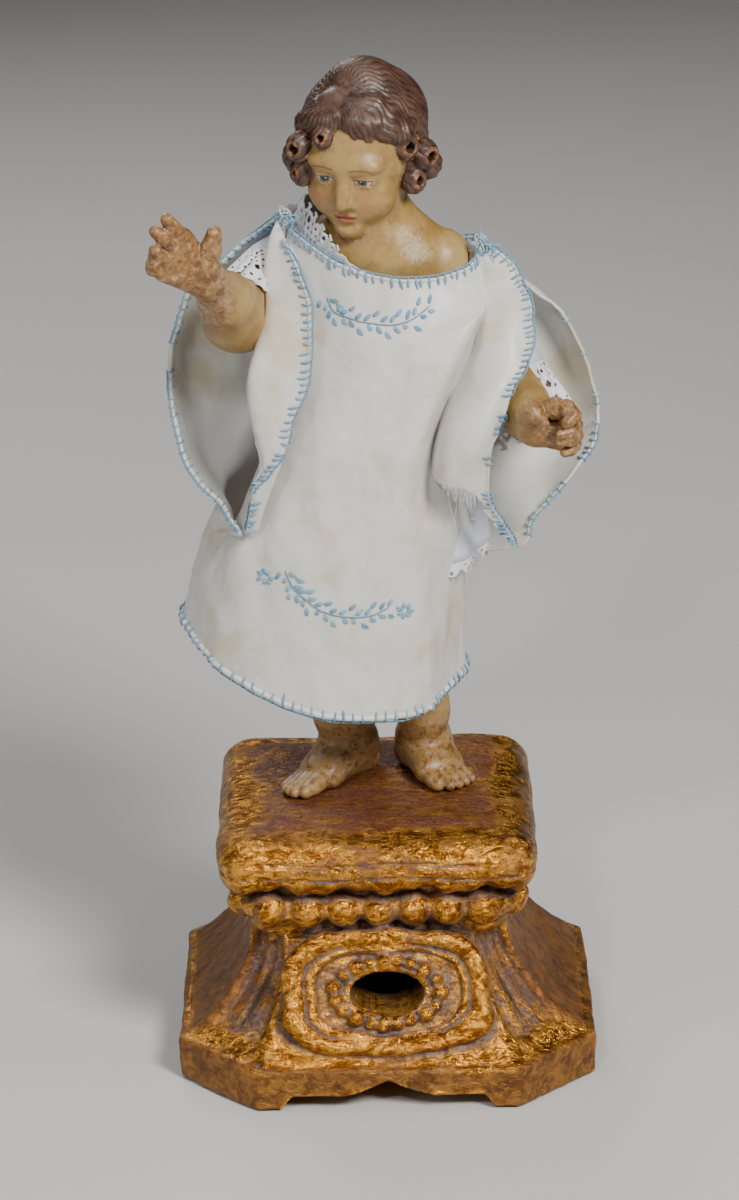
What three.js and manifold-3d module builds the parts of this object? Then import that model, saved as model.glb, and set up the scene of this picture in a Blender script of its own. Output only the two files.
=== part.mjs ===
// A carved and painted wooden figure of a standing child on a gilded pedestal, dressed in real cloth:
// a white under-dress with lace cuffs and, over it, a stiff satin robe with wide open sleeves.
// Millimetres, +Z up. The front faces -Y, and the origin is the centre of the pedestal's underside.
import * as THREE from "three";
import { mergeVertices } from "three/addons/utils/BufferGeometryUtils.js";
import Module from "manifold-3d";

const wasm = await Module();
wasm.setup();

// Driving dimensions of the pedestal
const PLATE_HALF = 83;
const PLATE_CUT = 31.5;
const PLATE_TOP = 17.5;
const NECK_HALF = 50;
const NECK_Z = 65;
const BEAD_Z = 73.5;
const BEAD_RADIUS = 7.6;
const BEAD_RING_HALF = 52.5;
const BEADS_PER_SIDE = 7;
const BEAD_PITCH = 14;
const CUSHION_HALF = 63;
const CUSHION_BOTTOM = 83;
const CUSHION_TOP = 105.7;
const HOLLOW_TOP = 60;
const TOP_SHIFT = -3.2;
const WINDOW = { z: 43, halfWidth: 14.7, halfHeight: 8.2 };
const FOOT_HALF_GAP = 44;
const APRON_RISE = 6;
const APRON_PEAK = 12.5;

// Driving dimensions of the figure. It and its clothes are laid out with the soles at SOLE, and are
// then sized by STATURE and set on the cushion by STANCE.
const SOLE = 100.3;
const STATURE = 0.99;
const STANCE = [0, -13.7, CUSHION_TOP + 0.3];
const HEAD = { centre: [-5.5, 5, 373], turn: -20, bow: 20, lean: 3 };
const SKULL = [23.5, 27, 25.5];
const CLOTH = 1.4;
const CLEARANCE = 0.6;

const PAINTED_WOOD = material(0xc6a263, 0.5, 0);
const GILT_WOOD = material(0xb98a3a, 0.38, 0.75);
const SATIN = material(0xd9d6cf, 0.55, 0);
const COTTON = material(0xe6e6ea, 0.8, 0);

function material(color, roughness, metalness) {
  return new THREE.MeshStandardMaterial({ color, roughness, metalness });
}

// A closed geometry as a solid that can be joined and cut.
function solid(geometry) {
  const bare = new THREE.BufferGeometry();
  bare.setAttribute("position", geometry.getAttribute("position").clone());
  if (geometry.index) bare.setIndex(geometry.index.clone());
  const merged = mergeVertices(bare, 1e-3);
  const made = new wasm.Manifold(
    new wasm.Mesh({
      numProp: 3,
      vertProperties: merged.attributes.position.array,
      triVerts: new Uint32Array(merged.index.array),
    }),
  );
  return made.volume() > 0 ? made : turnedOut(merged);
}

// The same closed surface with every face turned round.
function turnedOut(geometry) {
  const triVerts = new Uint32Array(geometry.index.array).reverse();
  const vertProperties = geometry.attributes.position.array;
  return new wasm.Manifold(new wasm.Mesh({ numProp: 3, vertProperties, triVerts }));
}

function join(solids) {
  return solids.reduce((all, one) => all.add(one));
}

function mesh(name, shape, finish) {
  const { vertProperties, triVerts, numProp } = shape.getMesh();
  if (numProp !== 3) throw new Error("unexpected vertex layout");
  const geometry = new THREE.BufferGeometry();
  geometry.setAttribute("position", new THREE.BufferAttribute(vertProperties, 3));
  geometry.setIndex(new THREE.BufferAttribute(triVerts, 1));
  geometry.computeVertexNormals();
  const made = new THREE.Mesh(geometry, finish);
  made.name = name;
  return made;
}

// A smooth curve through rows of numbers, at t from 0 to 1. It returns one row.
function through(rows, t) {
  const last = rows.length - 1;
  const place = Math.min(Math.max(t, 0), 1) * last;
  const i = Math.min(Math.floor(place), last - 1);
  const f = place - i;
  const row = (k) => rows[Math.min(Math.max(k, 0), last)];
  return row(i).map((b, n) => {
    const a = i > 0 ? row(i - 1)[n] : 2 * b - row(i + 1)[n];
    const c = row(i + 1)[n];
    const d = i + 2 <= last ? row(i + 2)[n] : 2 * c - b;
    return (
      b + 0.5 * f * (c - a + f * (2 * a - 5 * b + 4 * c - d + f * (3 * (b - c) + d - a)))
    );
  });
}

// Faces between rings of points, closed with a point at each end.
function loft(rings, start, end) {
  const sides = rings[0].length;
  const points = [start, ...rings.flat(), end];
  const faces = [];
  const at = (ring, side) => 1 + ring * sides + (side % sides);
  for (let s = 0; s < sides; s++) {
    faces.push(0, at(0, s + 1), at(0, s));
    faces.push(points.length - 1, at(rings.length - 1, s), at(rings.length - 1, s + 1));
    for (let r = 0; r + 1 < rings.length; r++) {
      faces.push(at(r, s), at(r, s + 1), at(r + 1, s));
      faces.push(at(r, s + 1), at(r + 1, s + 1), at(r + 1, s));
    }
  }
  return indexed(points, faces);
}

function indexed(points, faces) {
  const geometry = new THREE.BufferGeometry();
  geometry.setAttribute("position", new THREE.Float32BufferAttribute(points.flat(), 3));
  geometry.setIndex(faces);
  return geometry;
}

// A limb through stations [x, y, z, radius] or [x, y, z, radius across, radius deep].
// "across" is the direction of the first radius, and a flat limb has no rounded ends.
function limb(stations, { sides = 12, steps = 3, across = [1, 0, 0], flat = false, place } = {}) {
  const rows = stations.map((s) => (s.length === 4 ? [...s, s[3]] : s));
  const count = (rows.length - 1) * steps;
  const rings = [];
  const side = new THREE.Vector3(...across);
  const spot = (t) => new THREE.Vector3(...through(rows, t));
  const heading = (t) => spot(t + 0.02).sub(spot(t - 0.02)).normalize();
  const tip = (t, sign) => {
    const reach = flat ? 0 : sign * through(rows, t)[4] * 0.55;
    return spot(t).addScaledVector(heading(t), reach).toArray();
  };
  for (let k = 0; k <= count; k++) {
    const t = k / count;
    const [x, y, z, wide, deep] = through(rows, t);
    const along = heading(t);
    const u = side.clone().addScaledVector(along, -side.dot(along)).normalize();
    const v = new THREE.Vector3().crossVectors(along, u);
    const end = !flat && (k === 0 || k === count) ? 0.8 : 1;
    const ring = [];
    for (let s = 0; s < sides; s++) {
      const angle = (2 * Math.PI * s) / sides;
      const p = new THREE.Vector3(x, y, z)
        .addScaledVector(u, Math.cos(angle) * wide * end)
        .addScaledVector(v, Math.sin(angle) * deep * end);
      ring.push(p.toArray());
    }
    rings.push(ring);
  }
  return solid(placed(loft(rings, tip(0, -1), tip(1, 1)), place));
}

function placed(geometry, place) {
  return place ? geometry.applyMatrix4(place) : geometry;
}

function blob(centre, radii, { across = 12, down = 8, turn = [0, 0, 0], place } = {}) {
  const [rx, ry, rz] = Array.isArray(radii) ? radii : [radii, radii, radii];
  const geometry = new THREE.SphereGeometry(1, across, down);
  geometry.rotateX(Math.PI / 2);
  geometry.scale(rx, ry, rz);
  geometry.rotateX(turn[0]).rotateY(turn[1]).rotateZ(turn[2]);
  geometry.translate(...centre);
  return solid(placed(geometry, place));
}

// A piece of cloth of even thickness over a grid of points.
function cloth(at, across, down, thickness) {
  const columns = across + 1;
  const spot = (i, j) => new THREE.Vector3(...at(i / across, j / down));
  const clampU = (i) => Math.min(Math.max(i, 0), across);
  const clampV = (j) => Math.min(Math.max(j, 0), down);
  const out = [];
  const inside = [];
  for (let j = 0; j <= down; j++) {
    for (let i = 0; i < columns; i++) {
      const du = spot(clampU(i + 1), j).sub(spot(clampU(i - 1), j));
      const dv = spot(i, clampV(j + 1)).sub(spot(i, clampV(j - 1)));
      const normal = du.cross(dv).normalize();
      out.push(spot(i, j).addScaledVector(normal, -thickness / 2).toArray());
      inside.push(spot(i, j).addScaledVector(normal, thickness / 2).toArray());
    }
  }
  const points = [...out, ...inside];
  const faces = [];
  const quad = (a, b, c, d) => faces.push(a, b, c, a, c, d);
  const o = (i, j) => i + j * columns;
  const n = (i, j) => o(i, j) + out.length;
  for (let j = 0; j < down; j++) {
    for (let i = 0; i < across; i++) {
      quad(o(i, j), o(i, j + 1), o(i + 1, j + 1), o(i + 1, j));
      quad(n(i, j), n(i + 1, j), n(i + 1, j + 1), n(i, j + 1));
    }
  }
  for (let i = 0; i < across; i++) {
    quad(o(i, 0), o(i + 1, 0), n(i + 1, 0), n(i, 0));
    quad(o(i, down), n(i, down), n(i + 1, down), o(i + 1, down));
  }
  for (let j = 0; j < down; j++) {
    quad(o(0, j), n(0, j), n(0, j + 1), o(0, j + 1));
    quad(o(across, j), o(across, j + 1), n(across, j + 1), n(across, j));
  }
  return solid(indexed(points, faces));
}

// A square outline at height z with its corners cut straight (round 0) or rounded (round 1).
// Relief pushes the corner faces out by relief(across) millimetres. The pedestal was carved by eye:
// what stands above the body sits TOP_SHIFT to one side, and the body leans over to meet it.
const CORNER_STEPS = 4;

const sideways = (z) => TOP_SHIFT * Math.min(1, Math.max(0, (z - PLATE_TOP) / (NECK_Z - PLATE_TOP)));

function squareRing({ z, half, cut, round = 0, relief = () => 0 }) {
  const ring = [];
  for (let side = 0; side < 4; side++) {
    const quarter = (p) => {
      const turned = new THREE.Vector2(...p).rotateAround(new THREE.Vector2(), (side * Math.PI) / 2);
      return [turned.x + sideways(z), turned.y, z];
    };
    const reach = half - cut;
    ring.push(quarter([-reach, -half]));
    for (let i = 0; i < CORNER_STEPS; i++) {
      const c = i / CORNER_STEPS;
      const angle = (c * Math.PI) / 2;
      const arc = [reach + cut * Math.sin(angle), -reach - cut * Math.cos(angle)];
      const chord = [reach + cut * c, -half + cut * c];
      const out = relief(c) * Math.SQRT1_2;
      ring.push(
        quarter([
          chord[0] + (arc[0] - chord[0]) * round + out,
          chord[1] + (arc[1] - chord[1]) * round - out,
        ]),
      );
    }
  }
  return ring;
}

function squareLoft(levels) {
  const rings = levels.map(squareRing);
  return solid(loft(rings, [0, 0, levels[0].z], [0, 0, levels.at(-1).z]));
}

// The hollow-sided body between the plate and the neck: how far it flares at height z, from 0 to 1.
const BODY_FOOT = PLATE_TOP + 1;
const BODY_FLARE = 29;
const flare = (z) => Math.pow(1 - (z - BODY_FOOT) / (NECK_Z - BODY_FOOT), 2.2);
const bodyHalf = (z) => NECK_HALF + BODY_FLARE * flare(z);

// Three ribs with two flutes between them run down each corner of the body.
const FLUTE_DEPTH = 2.2;
function fluteRelief(z) {
  const fade = Math.min(1, (z - 25) / 8, (NECK_Z - z) / 6);
  return (c) => (fade > 0 ? -FLUTE_DEPTH * fade * Math.pow(Math.sin(2 * Math.PI * c), 2) : 0);
}

function pedestalCore() {
  const levels = [
    { z: 0, half: PLATE_HALF, cut: PLATE_CUT },
    { z: PLATE_TOP - 1.5, half: PLATE_HALF, cut: PLATE_CUT },
    { z: PLATE_TOP, half: PLATE_HALF - 1.5, cut: PLATE_CUT - 0.5 },
  ];
  const bodySteps = 5;
  for (let k = 0; k <= bodySteps; k++) {
    const z = BODY_FOOT + ((NECK_Z - BODY_FOOT) * k) / bodySteps;
    levels.push({ z, half: bodyHalf(z), cut: 14 + 16 * flare(z), relief: fluteRelief(z) });
  }
  const moulding = [
    [BEAD_Z - 5, BEAD_RING_HALF - 2],
    [BEAD_Z + 5, BEAD_RING_HALF - 1],
    [CUSHION_BOTTOM - 1, BEAD_RING_HALF],
    [CUSHION_BOTTOM + 1, CUSHION_HALF - 4],
    [CUSHION_BOTTOM + 5, CUSHION_HALF],
    [CUSHION_TOP - 9, CUSHION_HALF],
    [CUSHION_TOP - 2.6, CUSHION_HALF - 3],
    [CUSHION_TOP, CUSHION_HALF - 10],
  ];
  for (const [z, half] of moulding) levels.push({ z, half, cut: 14, round: 1 });
  return squareLoft(levels);
}

// The beads follow the neck moulding on its four sides and leave its corners free.
function neckBeads() {
  const beads = [];
  for (let side = 0; side < 4; side++) {
    for (let i = 0; i < BEADS_PER_SIDE; i++) {
      const along = (i - (BEADS_PER_SIDE - 1) / 2) * BEAD_PITCH;
      const spot = new THREE.Vector2(along, -BEAD_RING_HALF);
      spot.rotateAround(new THREE.Vector2(), (side * Math.PI) / 2);
      const turn = [0, 0, (side * Math.PI) / 2];
      const radii = [BEAD_RADIUS - 0.4, BEAD_RADIUS, BEAD_RADIUS];
      const centre = [spot.x + TOP_SHIFT, spot.y, BEAD_Z];
      beads.push(blob(centre, radii, { across: 6, down: 3, turn }));
    }
  }
  return beads;
}

// The cartouche lies on a plane that leans back. These carry its plane's (across, up, out) to space.
const CARTOUCHE = { y: -66, z: 43, lean: 0.39, halfWidth: 36.5, halfHeight: 21, roll: 5.2 };
function onCartouche([across, up, out]) {
  const { y, z, lean } = CARTOUCHE;
  return [
    across,
    y + up * Math.sin(lean) - out * Math.cos(lean),
    z + up * Math.cos(lean) + out * Math.sin(lean),
  ];
}

// A squared oval, a full turn for t from 0 to 1.
function squaredOval(t, halfWidth, halfHeight, squareness = 0.75) {
  const soft = (v) => Math.sign(v) * Math.pow(Math.abs(v), squareness);
  const angle = 2 * Math.PI * t;
  return [halfWidth * soft(Math.cos(angle)), halfHeight * soft(Math.sin(angle))];
}

function cartouche() {
  const { halfWidth, halfHeight, roll } = CARTOUCHE;
  const steps = 18;
  const sides = 5;
  const points = [];
  const faces = [];
  for (let k = 0; k < steps; k++) {
    const [x, up] = squaredOval(k / steps, 1, 1);
    for (let s = 0; s < sides; s++) {
      const angle = (2 * Math.PI * s) / sides;
      const out = Math.cos(angle) * roll;
      points.push(
        onCartouche([x * (halfWidth + out), up * (halfHeight + out), Math.sin(angle) * roll]),
      );
      const a = k * sides + s;
      const b = k * sides + ((s + 1) % sides);
      const wrap = (n) => (n + sides) % (steps * sides);
      faces.push(a, b, wrap(a), b, wrap(b), wrap(a));
    }
  }
  const outline = new THREE.Shape();
  for (let k = 0; k < steps; k++) {
    const [x, up] = squaredOval(k / steps, halfWidth, halfHeight);
    if (k) outline.lineTo(x, up);
    else outline.moveTo(x, up);
  }
  const field = new THREE.ExtrudeGeometry(outline, { depth: 16, bevelEnabled: false });
  field.translate(0, 0, -16);
  const position = field.getAttribute("position");
  for (let i = 0; i < position.count; i++) {
    position.setXYZ(i, ...onCartouche([position.getX(i), position.getY(i), position.getZ(i)]));
  }
  const beads = [];
  const rimBeads = 14;
  for (let k = 0; k < rimBeads; k++) {
    const [x, up] = squaredOval((k + 0.5) / rimBeads, 22.5, 13.5, 1);
    beads.push(blob(onCartouche([x, up, 0.5]), 2.9, { across: 5, down: 3 }));
  }
  return [solid(indexed(points, faces)), solid(field), ...beads];
}

// A prism through the pedestal along Y, or along X when turned.
function prism(shape, from, to, turned = false) {
  const geometry = new THREE.ExtrudeGeometry(shape, {
    depth: to - from,
    bevelEnabled: false,
    curveSegments: 4,
  });
  geometry.rotateX(Math.PI / 2).translate(0, to, 0);
  if (turned) geometry.rotateZ(Math.PI / 2);
  return solid(geometry);
}

// The ogee cut-out between two feet, with its point in the middle.
function apronShape() {
  const shape = new THREE.Shape();
  shape.moveTo(-FOOT_HALF_GAP, -2);
  for (const side of [-1, 1]) {
    const outer = [
      [side * (FOOT_HALF_GAP - 1), 0],
      [side * (FOOT_HALF_GAP - 8), APRON_RISE],
      [side * 20, APRON_RISE],
    ];
    const half = side < 0 ? outer : outer.reverse();
    if (side > 0) shape.quadraticCurveTo(6, 9.5, half[0][0], half[0][1]);
    half.slice(side > 0 ? 1 : 0).forEach((p) => shape.lineTo(...p));
    if (side < 0) shape.quadraticCurveTo(-6, 9.5, 0, APRON_PEAK);
  }
  shape.lineTo(FOOT_HALF_GAP, -2);
  return shape;
}

function pedestal() {
  const hollow = squareLoft([
    { z: -1, half: 62, cut: 22 },
    { z: PLATE_TOP, half: 60, cut: 20 },
    { z: WINDOW.z + 2, half: 42, cut: 12 },
    { z: HOLLOW_TOP, half: 38, cut: 10 },
  ]);
  const opening = new THREE.Shape();
  opening.absellipse(0, WINDOW.z, WINDOW.halfWidth, WINDOW.halfHeight, 0, 2 * Math.PI);
  const through = 2 * PLATE_HALF;
  return join([pedestalCore(), ...neckBeads(), ...cartouche()])
    .subtract(hollow)
    .subtract(prism(opening, -through, -20))
    .subtract(prism(apronShape(), -through, through))
    .subtract(prism(apronShape(), -through, through, true));
}

// The figure. Stations are [x, y, z, radius across, radius deep], from the body outwards.
const TORSO = [
  [0, 20, 178, 18, 15],
  [0, 19, 200, 27, 22],
  [0, 18, 225, 29, 24],
  [0, 18, 255, 27, 22],
  [0, 18, 285, 29, 21],
  [1, 17, 308, 31, 20],
  [1, 16, 322, 27, 18],
  [1, 13, 334, 16, 14],
];
const NECK = [
  [1, 13, 332, 15, 14],
  [0, 10, 342, 12.5, 12.5],
  [-2, 8, 354, 12, 12.5],
];
const RIGHT_LEG = [
  [-13, 20, 196, 14],
  [-16, 18, 160, 12.8],
  [-16.8, 21, 128, 10.8],
  [-15.5, 24, 116, 9.4],
  [-14, 26, 106, 8.6],
];
const LEFT_LEG = [
  [13, 20, 196, 14],
  [14.5, 19, 160, 12.2],
  [16.5, 21.5, 128, 9.8],
  [17, 25, 116, 9.3],
  [15, 28, 106, 8.6],
];
const RIGHT_ARM = [
  [-31, 18, 321, 12],
  [-42, 8, 313, 12],
  [-51, -7, 305, 13.5],
  [-57, -28, 316, 11.3],
  [-62, -44, 327, 7.6, 6.8],
];
const LEFT_ARM = [
  [27, 16, 320, 11],
  [38, 16, 302, 11],
  [53, 4, 269, 12.2],
  [58, -17, 266, 10.4],
  [60, -32, 266, 8.2, 7.2],
];

// Each foot runs from the heel to the ball along a heading. Toes are given by the tips of the big
// toe and of the little toe.
const FEET = [
  {
    heading: [-0.665, -0.747],
    sole: [
      [-8.5, 31, 106.5, 7.5, 7.5],
      [-13, 25, 109.5, 8.5, 9.5],
      [-21, 15, 107, 9.5, 7.6],
      [-28.5, 6.5, 104.8, 10.4, 4.8],
      [-32, 2.5, 103.2, 10.2, 3.4],
    ],
    toes: [
      [-31.5, -5.5],
      [-41, 4],
    ],
  },
  {
    heading: [0.43, -0.9],
    sole: [
      [12.5, 34, 106.5, 7.5, 7.5],
      [16, 28, 110, 8.5, 9.5],
      [20.5, 19, 107.5, 9.8, 7.6],
      [25, 11, 104.8, 10.6, 4.8],
      [26.5, 7, 103.2, 10.6, 3.4],
    ],
    toes: [
      [21.6, 0],
      [35, 10.5],
    ],
  },
];
const TOE_RADII = [3.6, 2.9, 2.8, 2.6, 2.4];

function foot({ heading, sole, toes }) {
  const across = [-heading[1], heading[0], 0];
  const [big, little] = toes;
  const made = TOE_RADII.map((radius, i) => {
    const share = i / (TOE_RADII.length - 1);
    const bulge = 2.4 * Math.sin(Math.PI * share);
    const [x, y] = [0, 1].map((n) => big[n] + (little[n] - big[n]) * share + heading[n] * bulge);
    const z = SOLE + radius - 0.4;
    return limb(
      [
        [x - 9 * heading[0], y - 9 * heading[1], z + 1, radius],
        [x - radius * 0.5 * heading[0], y - radius * 0.5 * heading[1], z, radius],
      ],
      { sides: 5, steps: 1, across },
    );
  });
  return [limb(sole, { sides: 9, steps: 1, across }), ...made];
}

// A hand: the palm's stations with the direction across it, then each finger's stations.
const RIGHT_HAND = {
  across: [-0.5, 0, -0.865],
  palm: [
    [-61.5, -43, 326.5, 7.6, 6.6],
    [-66, -50.5, 333, 9.4, 6],
    [-71.5, -56.5, 339.5, 10.2, 4.8],
    [-76, -60.5, 344, 8.8, 3.6],
  ],
  fingers: [
    [[-71, -58.5, 348.5, 3.4], [-75.4, -64, 355, 3.1], [-77.6, -66, 358.6, 2.5]],
    [[-75, -60, 346.5, 3.4], [-79, -66, 351.8, 3], [-81.8, -68, 354.6, 2.5]],
    [[-77, -61, 342.5, 3.3], [-81.6, -65.5, 345, 3], [-81.6, -68.8, 347.6, 2.5]],
    [[-79, -60, 338, 3], [-83.2, -63.5, 339.6, 2.7], [-83, -66.5, 342, 2.3]],
    [[-62.5, -48, 331, 6.2], [-64, -55, 338, 5.8], [-62, -58, 345.4, 4], [-60.8, -60, 351.5, 2.8]],
  ],
};
const LEFT_HAND = {
  across: [0, 0.1, 1],
  palm: [
    [59.5, -30, 266.3, 8.4, 7],
    [63.5, -36, 266.5, 9.4, 6],
    [69, -38.5, 267, 9.6, 4.8],
    [73.5, -38.5, 267.6, 9, 3.6],
  ],
  fingers: [
    [[67, -39, 277, 3.8], [75, -43.6, 277, 3.5], [75.6, -48.8, 274.6, 3.1], [72.6, -50.6, 272.8, 2.6]],
    [[74, -38, 270.4, 3.3], [77.4, -43, 269.4, 3], [74, -48.8, 268.2, 2.7], [69.6, -50.4, 267.4, 2.4]],
    [[74, -37, 264.8, 3.2], [77, -42, 264.8, 3], [73, -47.3, 264.3, 2.7], [68.4, -48.5, 264.2, 2.4]],
    [[73, -35.5, 259.8, 3], [76.4, -39.5, 260, 2.8], [74, -43.5, 259, 2.6], [70.4, -45, 258.4, 2.3]],
    [[56, -32, 270, 6.2], [55.8, -41, 274.6, 6], [58, -48, 276, 4.6], [61.4, -51.5, 273.4, 3.1]],
  ],
};

function hand({ across, palm, fingers }) {
  const made = fingers.map((stations) => limb(stations, { sides: 5, steps: 1, across }));
  return [limb(palm, { sides: 8, steps: 1, across }), ...made];
}

// The head is built upright in its own frame, facing -Y with its centre between the ears, then bowed
// and turned into place.
const HEAD_PLACE = new THREE.Matrix4()
  .makeTranslation(...HEAD.centre)
  .multiply(new THREE.Matrix4().makeRotationZ(THREE.MathUtils.degToRad(HEAD.turn)))
  .multiply(new THREE.Matrix4().makeRotationX(THREE.MathUtils.degToRad(HEAD.bow)))
  .multiply(new THREE.Matrix4().makeRotationY(THREE.MathUtils.degToRad(HEAD.lean)));

function face() {
  const part = (centre, radii, across = 10, down = 6) =>
    blob(centre, radii, { across, down, place: HEAD_PLACE });
  const pair = (x, rest, ...more) => [-x, x].map((side) => part([side, ...rest], ...more));
  return [
    part([0, 1, 0], SKULL, 8, 6),
    part([0, -8, -12], [18.5, 19.5, 24], 14, 8),
    part([0, -22, -31], [7, 5.6, 5.2], 8, 5),
    ...pair(9.5, [-18, -17], [8.5, 7.8, 9], 8, 5),
    ...pair(8, [-24, -3.6], [7, 2.8, 2], 6, 4),
    ...pair(8, [-23.8, -8.4], [4.2, 2.8, 2.4], 6, 4),
    part([0, -26.6, -22.8], [5, 2.6, 1.5], 6, 4),
    part([0, -26, -25.4], [4, 2.6, 1.6], 6, 4),
    limb(
      [
        [0, -25.6, -5, 2.2, 2.2],
        [0, -28, -11, 2.4, 2.4],
        [0, -29.6, -16, 3.8, 2.8],
      ],
      { sides: 7, steps: 1, place: HEAD_PLACE },
    ),
  ];
}

// Hair: a cap with wavy strands that run down from the crown, a fringe of short locks that part in
// the middle, and a bunch of drilled curls over each ear. hairSpot is a point on the cap.
const HAIR = { centre: [0, 5.4, 3.6], radii: [25.8, 28.3, 25.6], strands: 7, depth: 1.1 };
const FRINGE_HALF = 3;
const CURLS = [
  [-31.5, -1, 368, 5.6],
  [-31, 1, 358, 5],
  [-26, -6, 376, 4.6],
  [12.5, -7, 371, 5.4],
  [21, -2, 366.5, 5.4],
  [17, -1, 356.5, 5.4],
];

function hairSpot(azimuth, height, out) {
  const [cx, cy, cz] = HAIR.centre;
  const [rx, ry, rz] = HAIR.radii;
  const level = Math.sqrt(1 - Math.pow((height - cz) / rz, 2));
  const across = (rx + out) * level * Math.sin(azimuth);
  return [cx + across, cy - (ry + out) * level * Math.cos(azimuth), height];
}

function hairCap() {
  const geometry = new THREE.SphereGeometry(1, 3 * HAIR.strands, 7).rotateX(Math.PI / 2);
  const position = geometry.getAttribute("position");
  for (let i = 0; i < position.count; i++) {
    const p = new THREE.Vector3().fromBufferAttribute(position, i);
    const azimuth = Math.atan2(p.y, p.x);
    const away = Math.sqrt(Math.max(0, 1 - p.z * p.z));
    const strand = Math.cos(HAIR.strands * azimuth + 2 * p.z);
    const wave = 1 + (HAIR.depth / HAIR.radii[0]) * away * strand;
    position.setXYZ(i, ...HAIR.radii.map((r, n) => HAIR.centre[n] + r * p.getComponent(n) * wave));
  }
  return solid(placed(geometry, HEAD_PLACE));
}

function fringe() {
  const locks = [];
  for (let i = -FRINGE_HALF; i <= FRINGE_HALF; i++) {
    if (i === 0) continue;
    const azimuth = (i - 0.5 * Math.sign(i)) * 0.44;
    const hairline = 14.5 - 8 * Math.pow(azimuth / 1.1, 2);
    const sweep = 0.18 * Math.sign(i);
    const stations = [
      [...hairSpot(azimuth - sweep, hairline + 7, 0), 4, 3],
      [...hairSpot(azimuth, hairline + 3, 0.4), 4, 3],
      [...hairSpot(azimuth + sweep, hairline, 0), 2.8, 2.2],
    ];
    locks.push(limb(stations, { sides: 5, steps: 1, place: HEAD_PLACE }));
  }
  return locks;
}

function curl([x, y, z, radius]) {
  const outward = new THREE.Vector2(x + 5, y - 20).normalize();
  const stations = [];
  const turns = 4;
  for (let k = 0; k <= turns; k++) {
    const angle = 0.6 + (k / turns) * 5.4;
    const across = Math.cos(angle) * radius * 0.62;
    const up = Math.sin(angle) * radius * 0.7;
    stations.push([x - outward.y * across, y + outward.x * across, z + up, radius * 0.44]);
  }
  return limb(stations, { sides: 5, steps: 1, across: [outward.x, outward.y, 0] });
}

function hair() {
  return [
    hairCap(),
    blob([-28, 5, 363], [8.5, 10, 13], { across: 7, down: 5 }),
    blob([15, 5, 364], [9.5, 11, 14], { across: 7, down: 5 }),
    blob([-5, 26, 356], [18, 9, 13], { across: 8, down: 5 }),
    blob([-4.5, 5, 398.5], [9, 8, 4.4], { across: 8, down: 4 }),
    ...fringe(),
    ...CURLS.map(curl),
  ];
}

function figure() {
  const below = new THREE.BoxGeometry(200, 200, 60).translate(0, 0, SOLE - 30);
  return join([
    limb(TORSO, { sides: 10, steps: 1 }),
    limb(NECK, { sides: 10, steps: 1 }),
    limb(RIGHT_LEG, { sides: 9, steps: 1 }),
    limb(LEFT_LEG, { sides: 9, steps: 1 }),
    ...arms(0),
    ...FEET.flatMap(foot),
    ...hand(RIGHT_HAND),
    ...hand(LEFT_HAND),
    ...face(),
    ...hair(),
  ]).subtract(solid(below));
}

// Garment rings: [centre x, centre y, half width, half depth, height, then how the height varies with
// the sine, the cosine and the double cosine of the angle]. The angle is 0 in front and grows to +X.
const ROBE_RINGS = [
  [3.5, 17, 39, 27, 329.65, -7, -7.2, -2.85],
  [0, 17, 44, 31, 300, -2, -2, 0],
  [-3, 15, 45, 35, 270, 0, 0, 0],
  [-8, 11.5, 48, 38.5, 240, 0, 0, 0],
  [-18.5, 10.5, 51.5, 41.5, 200, -6, -2, 0],
  [-23, 10, 57, 42, 156.35, -12.5, -4.8, -5.15],
];
const CHEMISE_RINGS = [
  [5.5, 16, 35.5, 23.5, 328.25, -11, -7.5, -3.75],
  [0, 17, 39, 27, 303, -2, -2, 0],
  [-2, 17, 38, 28, 270, 0, 0, 0],
  [0, 16, 38, 29.5, 240, 0, 0, 0],
  [6, 15, 38, 29.5, 198, 3, -4, 0],
];
const RIGHT_SLEEVE = [
  [-29, 18.5, 321, 14],
  [-42, 8.5, 315, 16.8],
  [-50, -5, 312, 19.5],
];
const LEFT_SLEEVE = [
  [30, 17, 314, 13.2],
  [40, 16, 297, 14.6],
  [52, 7, 272, 17],
  [58, -3, 262.5, 18.5],
];

function ringSpot(row, angle, out = 0) {
  const [cx, cy, wide, deep, height, bySine, byCosine, byDouble] = row;
  const sine = Math.sin(angle);
  const cosine = Math.cos(angle);
  return [
    cx + (wide + out) * sine,
    cy - (deep + out) * cosine,
    height + bySine * sine + byCosine * cosine + byDouble * Math.cos(2 * angle),
  ];
}

// A garment's body as a solid, "out" millimetres outside its rings and "longer" at both ends.
function gown(rows, { sides, steps, out = 0, longer = 0, folds = () => 0 }) {
  const rings = [];
  for (let k = 0; k <= steps; k++) {
    const t = k / steps;
    const row = through(rows, t);
    const ring = [];
    for (let s = 0; s < sides; s++) {
      const angle = (2 * Math.PI * s) / sides;
      ring.push(ringSpot(row, angle, out + folds(angle, t)));
    }
    rings.push(ring);
  }
  const shifted = (ring, rise) => ring.map(([x, y, z]) => [x, y, z + rise]);
  if (longer) {
    rings.unshift(shifted(rings[0], longer));
    rings.push(shifted(rings.at(-1), -longer));
  }
  const middle = (ring) => [0, 1, 2].map((n) => ring.reduce((sum, p) => sum + p[n] / sides, 0));
  return solid(loft(rings, middle(rings[0]), middle(rings.at(-1))));
}

function widened(stations, by) {
  return stations.map((station) => station.map((value, n) => (n < 3 ? value : value + by)));
}

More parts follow.
